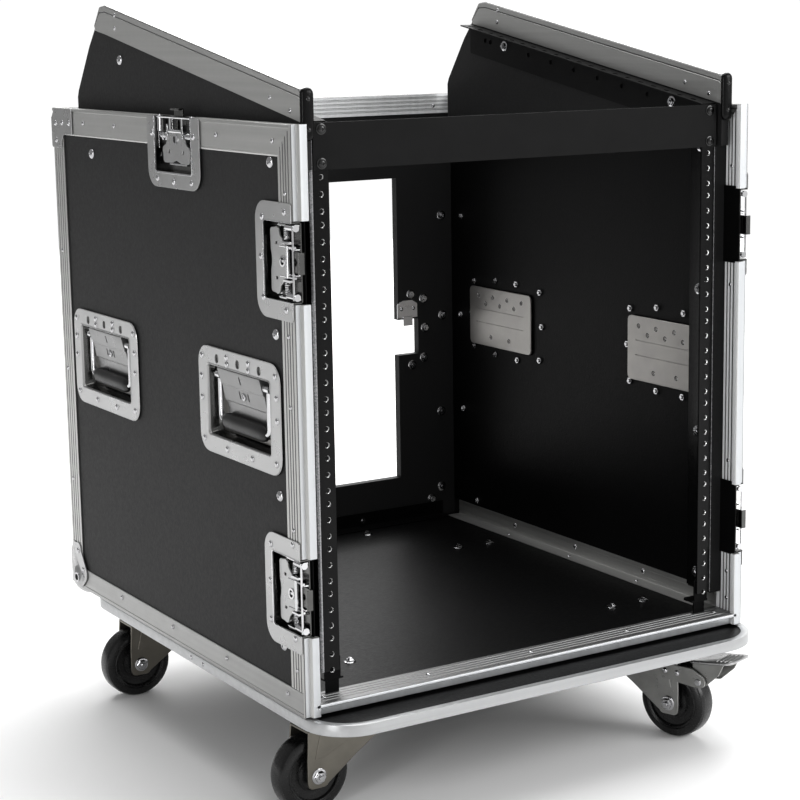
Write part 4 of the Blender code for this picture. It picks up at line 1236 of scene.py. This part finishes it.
def board_edging():
    """Rounded aluminium edging whose lip laps on to the board."""
    section = [(0.0, BOARD_LOW + 0.0004), (0.0, BOARD_TOP - 0.0007), (0.0002, BOARD_TOP - 0.0001),
               (0.0014, BOARD_TOP), (0.0075, BOARD_TOP), (0.0080, BOARD_TOP - 0.0003),
               (0.0080, BOARD_TOP - 0.0010), (0.0014, BOARD_TOP - 0.0011), (0.0012, BOARD_LOW),
               (0.0004, BOARD_LOW)]
    bm = bmesh.new()
    strip(bm, section, list(board_stations()), closed=True)
    piece("board_edging", bm, EDGING, replaces=("caster_board_trim",))
    places = [(y, (BOARD_TOP + BOARD_LOW) / 2) for y in (0.222, 0.250)]
    rivet_piece("edging_rivets", *((facing_side(s, 0.2728), places) for _, s in SIDES))


def caster_plate_bolts(place):
    """Plate under the board with four washers and nuts."""
    x, y, _ = CASTERS[place]
    put = facing_up(BOARD_LOW - 0.0029, -1.0)
    washer = (7.0, 0.9), (7.0, 2.0), (6.6, 2.2), (3.0, 2.2)
    nut = (5.4, 2.0), (5.4, 5.0), (4.7, 5.7), (2.9, 5.7), (2.9, 7.4), (2.2, 8.0)
    bm = bmesh.new()
    slab(bm, put, rounded(x, y, 0.0915, 0.0655, 0.006), 0.0, 0.0011)
    for du in (-0.036, 0.036):
        for dv in (-0.023, 0.023):
            turned(bm, put, x + du, y + dv, washer, 20)
            turned(bm, put, x + du, y + dv, nut, 6)
    piece(f"caster_plate_{place}", bm, ZINC)


FORK_HALF = 0.0182            # from the fork's middle to the outside of a leg
FORK_INSIDE = 0.0157
BRACKET = (0.0181, 0.0204)    # the brake bracket's cheeks, from the fork's middle
PEDAL_CHEEK = (0.0154, 0.0172)
BRAKE_PIN = (TRAIL + 0.039, AXLE_Z + 0.032)


def fork_outline():
    """Leg seen from the side: broad at the crown, round about the axle."""
    u, z = TRAIL, AXLE_Z
    return (arc(u - 0.0060, z - 0.0065, 0.0065, -150, -90, 4)
            + arc(u + 0.0060, z - 0.0065, 0.0065, -90, 0, 4)
            + [(u + 0.0125, z + 0.0180), (u + 0.0105, z + 0.0476),
               (u - 0.0810, z + 0.0476), (u - 0.0835, z + 0.0450)]
            + arc(u - 0.0700, z + 0.0430, 0.0130, 190, 235, 3) + [(u - 0.0480, z + 0.0150)])


def fork_look(place):
    """The braked casters on the right are plated brighter."""
    return PLATED if place.endswith("right") else ZINC


def caster_fork(place):
    """Pressed fork with ribbed legs, its swivel race and the axle bolt."""
    body = f"caster_fork_{place}"
    put = caster_surface(place)
    look = fork_look(place)
    bm = bmesh.new()
    slab(bm, put, fork_outline(), -FORK_HALF, FORK_HALF)
    hollow = bmesh.new()
    inside = [(-0.09, AXLE_Z - 0.03), (0.13, AXLE_Z - 0.03), (0.13, AXLE_Z + 0.0450),
              (-0.09, AXLE_Z + 0.0450)]
    slab(hollow, put, inside, -FORK_INSIDE, FORK_INSIDE)
    piece(f"fork_{place}", bm, look, body=body, replaces=(body,),
          cut=(hollow,), bevel=0.0009)
    bm = bmesh.new()
    for t in (-1.0, 1.0):
        side = lambda u, z, h: put(u, z, t * (FORK_HALF + h))
        rib = [(TRAIL - 0.006, AXLE_Z + 0.018), (TRAIL + 0.004, AXLE_Z + 0.018),
               (TRAIL - 0.002, AXLE_Z + 0.042), (TRAIL - 0.050, AXLE_Z + 0.042),
               (TRAIL - 0.046, AXLE_Z + 0.034)]
        slab(bm, side, rib, -0.0006, 0.0007)
    piece(f"fork_ribs_{place}", bm, look, body=body, bevel=0.0006)
    bm = bmesh.new()
    race = ((25.0, 0.0), (25.0, -1.6), (23.2, -2.4), (23.2, -3.6), (25.6, -5.0), (26.2, -8.0),
            (25.2, -10.6), (22.0, -12.4), (22.0, -17.6))
    turned(bm, lambda u, v, h: put(u, h - 0.0165, v), 0.0, 0.0, race, 40)
    turned(bm, lambda u, v, h: put(u, -0.0341 - h, v), 0.0, 0.0,
           ((8.0, 0.0), (8.0, 3.0), (6.5, 4.2), (2.0, 4.4)), 20)
    piece(f"swivel_race_{place}", bm, look, body=body, smooth=25.0)
    bm = bmesh.new()
    for t in (-1.0, 1.0):
        side = lambda u, z, h: put(u, z, t * (FORK_HALF + h))
        turned(bm, side, TRAIL, AXLE_Z, ((8.2, -0.2), (8.2, 0.9), (7.8, 1.2), (4.0, 1.2)), 24)
        turned(bm, side, TRAIL, AXLE_Z, ((6.2, 1.0), (6.2, 4.4), (5.4, 5.2), (3.2, 5.2)), 6)
        turned(bm, side, TRAIL, AXLE_Z, ((3.0, 5.0), (3.0, 6.6), (2.4, 7.2)), 14)
    tube(bm, [put(TRAIL, AXLE_Z, -0.0180), put(TRAIL, AXLE_Z, 0.0180)], 0.0040, 16)
    piece(f"axle_bolt_{place}", bm, RIVET, body=body, slot="zinc_steel")


def caster_wheel(place):
    """Turned wheel: hard tread, stepped web and a hub with a bearing cap."""
    body = f"caster_wheel_{place}"
    put = caster_surface(place)
    half = 0.0130
    side = [(4.6, half), (9.5, half), (10.5, half - 0.0006), (11.5, half - 0.0034),
            (16.5, half - 0.0044), (17.0, half - 0.0036), (18.2, half - 0.0036),
            (18.7, half - 0.0044), (26.5, half - 0.0036), (28.0, half - 0.0010),
            (29.0, half - 0.0006), (30.0, half - 0.0012), (31.0, half - 0.0006),
            (36.0, half - 0.0010), (38.6, half - 0.0026), (39.7, half - 0.0052), (40.0, 0.0065)]
    loops = [(r / 1000, w) for r, w in side] + [(r / 1000, -w) for r, w in reversed(side)]
    bm = bmesh.new()
    loft(bm, put, [(circle(TRAIL, AXLE_Z, r, 64), w) for r, w in loops], ring=True)
    piece(f"wheel_{place}", bm, WHEEL, body=body, replaces=(body,), smooth=28.0)
    bm = bmesh.new()
    for t in (-1.0, 1.0):
        hollow_turned(bm, lambda u, z, h: put(u, z, t * h), TRAIL, AXLE_Z,
                      ((4.6, 12.6), (4.6, 14.4), (8.4, 14.4), (9.0, 13.6), (9.0, 12.6)), 28)
    piece(f"wheel_bearing_{place}", bm, ZINC, body=body)


def brake(place):
    """Riveted bracket, cheeks and the broad pedal."""
    fork, pedal = f"caster_fork_{place}", f"brake_pedal_{place}"
    put = caster_surface(place)
    u, z = TRAIL, AXLE_Z
    bm = bmesh.new()
    for t in (-1.0, 1.0):
        arm = ([(u - 0.009, z + 0.0285), (u + 0.030, z + 0.0255)]
               + arc(u + 0.0400, z + 0.0330, 0.0075, -90, 40, 5)
               + [(u + 0.032, z + 0.0455), (u - 0.009, z + 0.0455)])
        slab(bm, put, arm, *sorted(t * w for w in BRACKET))
    piece(f"brake_bracket_{place}", bm, PLATED, body=fork, bevel=0.0005)
    bm = bmesh.new()
    for t in (-1.0, 1.0):
        side = lambda a, b, h: put(a, b, t * (0.0203 + h))
        rivets(bm, side, [(u - 0.003, z + 0.037), (u + 0.012, z + 0.037)])
        turned(bm, side, *BRAKE_PIN, ((3.8, -0.2), (3.8, 1.2), (3.2, 2.0), (0.5, 2.2)), 16)
    tube(bm, [put(*BRAKE_PIN, -BRACKET[1]), put(*BRAKE_PIN, BRACKET[1])], 0.0021, 12)
    piece(f"brake_rivets_{place}", bm, RIVET, body=fork, slot="zinc_steel")
    cheeks = [(u + 0.030, z + 0.036), (u + 0.034, z + 0.0285), (u + 0.039, z + 0.0262),
              (u + 0.046, z + 0.0280), (u + 0.062, z + 0.0430), (u + 0.068, z + 0.0555),
              (u + 0.030, z + 0.0505)]
    bm = bmesh.new()
    for t in (-1.0, 1.0):
        slab(bm, put, cheeks, *sorted(t * w for w in PEDAL_CHEEK))
    piece(f"pedal_cheeks_{place}", bm, PLATED, body=pedal, replaces=(pedal,),
          bevel=0.0004)
    start, middle, rise = 0.026, 0.0525, (0.0605 - 0.0535) / 0.053
    plate = rounded(0.0, middle, 0.0420, 0.0530, 0.0070)
    rim = [(w * 0.97, middle + (a - middle) * 0.98) for w, a in plate]
    bm = bmesh.new()
    top = lambda w, a, h: put(u + a, z + 0.0535 + (a - start) * rise + h, w)
    loft(bm, top, [(plate, -0.0020), (plate, -0.0004), (rim, 0.0)])
    for a in (0.058, 0.063, 0.068, 0.073):
        slab(bm, top, rounded(0.0, a, 0.0300, 0.0016, 0.0007, 2), -0.0004, 0.0006)
    piece(f"pedal_plate_{place}", bm, STAMPED, body=pedal, slot="zinc_steel")


# The CAD nodes that stay ------------------------------------------------------------------
def dress(node, look, edge=0.0):
    """Give a CAD node a finished material and, where asked, softened edges."""
    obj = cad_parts[node]
    obj.data.materials.clear()
    obj.data.materials.append(look)
    if edge:
        soften_edges(obj, edge, 30)


def dress_frame():
    for side, _ in SIDES:
        dress(f"side_panel_{side}", LAMINATE)
        dress(f"slant_panel_{side}", LAMINATE)
    # The rear wall gets the lighter laminate: painted light.
    dress("rear_panel", LAMINATE_REAR_PAINTED_LIGHT)
    # The floor and the caster board get the darker laminate: painted shade.
    dress("floor_panel", LAMINATE_PAINTED_SHADE)
    dress("caster_board", LAMINATE_PAINTED_SHADE)
    dress("blank_panel", SATIN, 0.0004)


def side_shade_sheet(side, s):
    """Thin sheet of the darker laminate on the inside of a side wall, painted shade, open where
    the dishes come through.
    """
    front, rear, low, high = 0.0610, REAR_IN - 0.0006, 0.0310, 0.5610
    bm = bmesh.new()
    slab(bm, inner_wall(s), [(front, low), (rear, low), (rear, high), (front, high)],
         0.0002, 0.0008)
    cuts = []
    for y in HANDLE_Y.values():
        opening = bmesh.new()
        slab(opening, inner_wall(s), rounded(y, HANDLE_Z, 0.1345, 0.0745, 0.004), -0.004, 0.004)
        cuts.append(opening)
    piece(f"side_shade_sheet_{side}", bm, LAMINATE_PAINTED_SHADE, cut=cuts)


# Studio -------------------------------------------------------------------------------
CAMERA_PLACE = (-1.1294, -1.5832, 0.652)
CAMERA_TURN = (31.603, -10.269, -0.931)        # yaw, pitch and roll in degrees


def add_camera():
    """Long lens in front of the case and to its left, looking slightly down."""
    data = bpy.data.cameras.new("camera")
    data.sensor_width = 36.0
    data.lens = 88.84
    data.shift_x = -0.00575
    data.shift_y = -0.0245
    data.clip_end = 100.0
    camera = bpy.data.objects.new("camera", data)
    bpy.context.scene.collection.objects.link(camera)
    yaw, pitch, roll = (math.radians(angle) for angle in CAMERA_TURN)
    forward = Vector((math.sin(yaw) * math.cos(pitch), math.cos(yaw) * math.cos(pitch),
                      math.sin(pitch)))
    right = Vector((math.cos(yaw), -math.sin(yaw), 0.0))
    up = right.cross(forward)
    turned_right = right * math.cos(roll) + up * math.sin(roll)
    turned_up = up * math.cos(roll) - right * math.sin(roll)
    basis = Matrix((turned_right, turned_up, -forward)).transposed()
    camera.matrix_world = Matrix.Translation(at(*CAMERA_PLACE)) @ basis.to_4x4()
    bpy.context.scene.camera = camera


def add_area(name, place, aim, size, power):
    """Rectangular light at a place (metres), pointed at its aim."""
    data = bpy.data.lights.new(name, "AREA")
    data.shape = "RECTANGLE"
    data.size, data.size_y = size
    data.energy = power
    light = bpy.data.objects.new(name, data)
    light.location = place
    light.rotation_euler = (Vector(aim) - Vector(place)).to_track_quat("-Z", "Y").to_euler()
    bpy.context.scene.collection.objects.link(light)


def add_world():
    """Soft white room: bright behind the case and in front on the right, dimmer elsewhere."""
    world = bpy.data.worlds.new("studio")
    world.use_nodes = True
    bpy.context.scene.world = world
    nodes, links = world.node_tree.nodes, world.node_tree.links
    place = nodes.new("ShaderNodeTexCoord")

    def glow(direction, start, stop, strength):
        dot = nodes.new("ShaderNodeVectorMath")
        dot.operation = "DOT_PRODUCT"
        dot.inputs[1].default_value = Vector(direction).normalized()
        links.new(place.outputs["Generated"], dot.inputs[0])
        reach = nodes.new("ShaderNodeMapRange")
        reach.inputs["From Min"].default_value = start
        reach.inputs["From Max"].default_value = stop
        reach.inputs["To Max"].default_value = strength
        links.new(dot.outputs["Value"], reach.inputs["Value"])
        return reach.outputs["Result"]

    def total(a, b):
        made = nodes.new("ShaderNodeMath")
        made.operation = "ADD"
        links.new(a, made.inputs[0])
        if isinstance(b, float):
            made.inputs[1].default_value = b
        else:
            links.new(b, made.inputs[1])
        return made.outputs["Value"]

    overall = 0.34
    behind = glow((0.52, 0.84, -0.10), 0.80, 0.93, 0.70)
    front = glow((0.60, -0.80, 0.10), 0.10, 0.95, 0.60)
    background = nodes["Background"]
    background.inputs["Color"].default_value = (1.0, 1.0, 1.0, 1.0)
    links.new(total(total(behind, front), overall), background.inputs["Strength"])


def add_floor():
    bm = bmesh.new()
    bmesh.ops.create_circle(bm, cap_ends=True, segments=128, radius=5.0)
    mesh = bpy.data.meshes.new("studio_floor")
    bm.to_mesh(mesh)
    bm.free()
    look = Look("floor_paper", (0.88, 0.88, 0.88), 0.8)
    look.vary_color(look.noise(3.0, 2.0), (0.865, 0.865, 0.865))
    look.set("Specular IOR Level", 0.1)
    mesh.materials.append(look.material)
    floor = bpy.data.objects.new("studio_floor", mesh)
    bpy.context.scene.collection.objects.link(floor)


def add_studio():
    add_camera()
    add_world()
    add_floor()
    add_area("key", (2.2, -2.8, 1.9), (0.0, 0.0, 0.4), (1.8, 1.8), 70.0)
    add_area("top", (0.4, 0.6, 3.4), (0.3, 0.5, 0.0), (3.0, 3.0), 95.0)
    add_area("left_strip", (-2.5, -1.5, 0.9), (0.0, -0.2, 0.4), (0.35, 1.8), 22.0)
    add_area("backdrop", (2.4, 3.8, 3.6), (2.2, 3.6, 0.0), (4.5, 4.5), 330.0)


SIDE_PARTS = (front_trim, inner_flange_rivets, rear_trim, floor_angle, corner_brace,
              ball_corner, slant_cap, side_shade_sheet, mixer_rail, rack_rail, side_hardware)
HANDLE_PARTS = (handle_tray, handle_floor, handle_bail, dish_back)
LATCH_PARTS = (latch_plate, latch_works, latch_wing, latch_hook, latch_back)
WHOLE_PARTS = (top_trim, bottom_trim, front_trim_bottom, rear_floor_angle,
               blank_panel_screws, rear_hardware, sill_rivets)


def add_case():
    for side, s in SIDES:
        for make in SIDE_PARTS:
            make(side, s)
        for place, y in HANDLE_Y.items():
            for make in HANDLE_PARTS:
                make(place, side, s, y)
        for place in LATCH_DEPTH:
            for make in LATCH_PARTS:
                make(place, side, s)
    for make in WHOLE_PARTS:
        make()


def add_casters():
    board_edging()
    for place in CASTERS:
        caster_plate_bolts(place)
        caster_fork(place)
        caster_wheel(place)
        if place.endswith("right"):
            brake(place)


dress_frame()
add_case()
add_casters()
add_studio()
bpy.context.scene.view_settings.view_transform = "Standard"
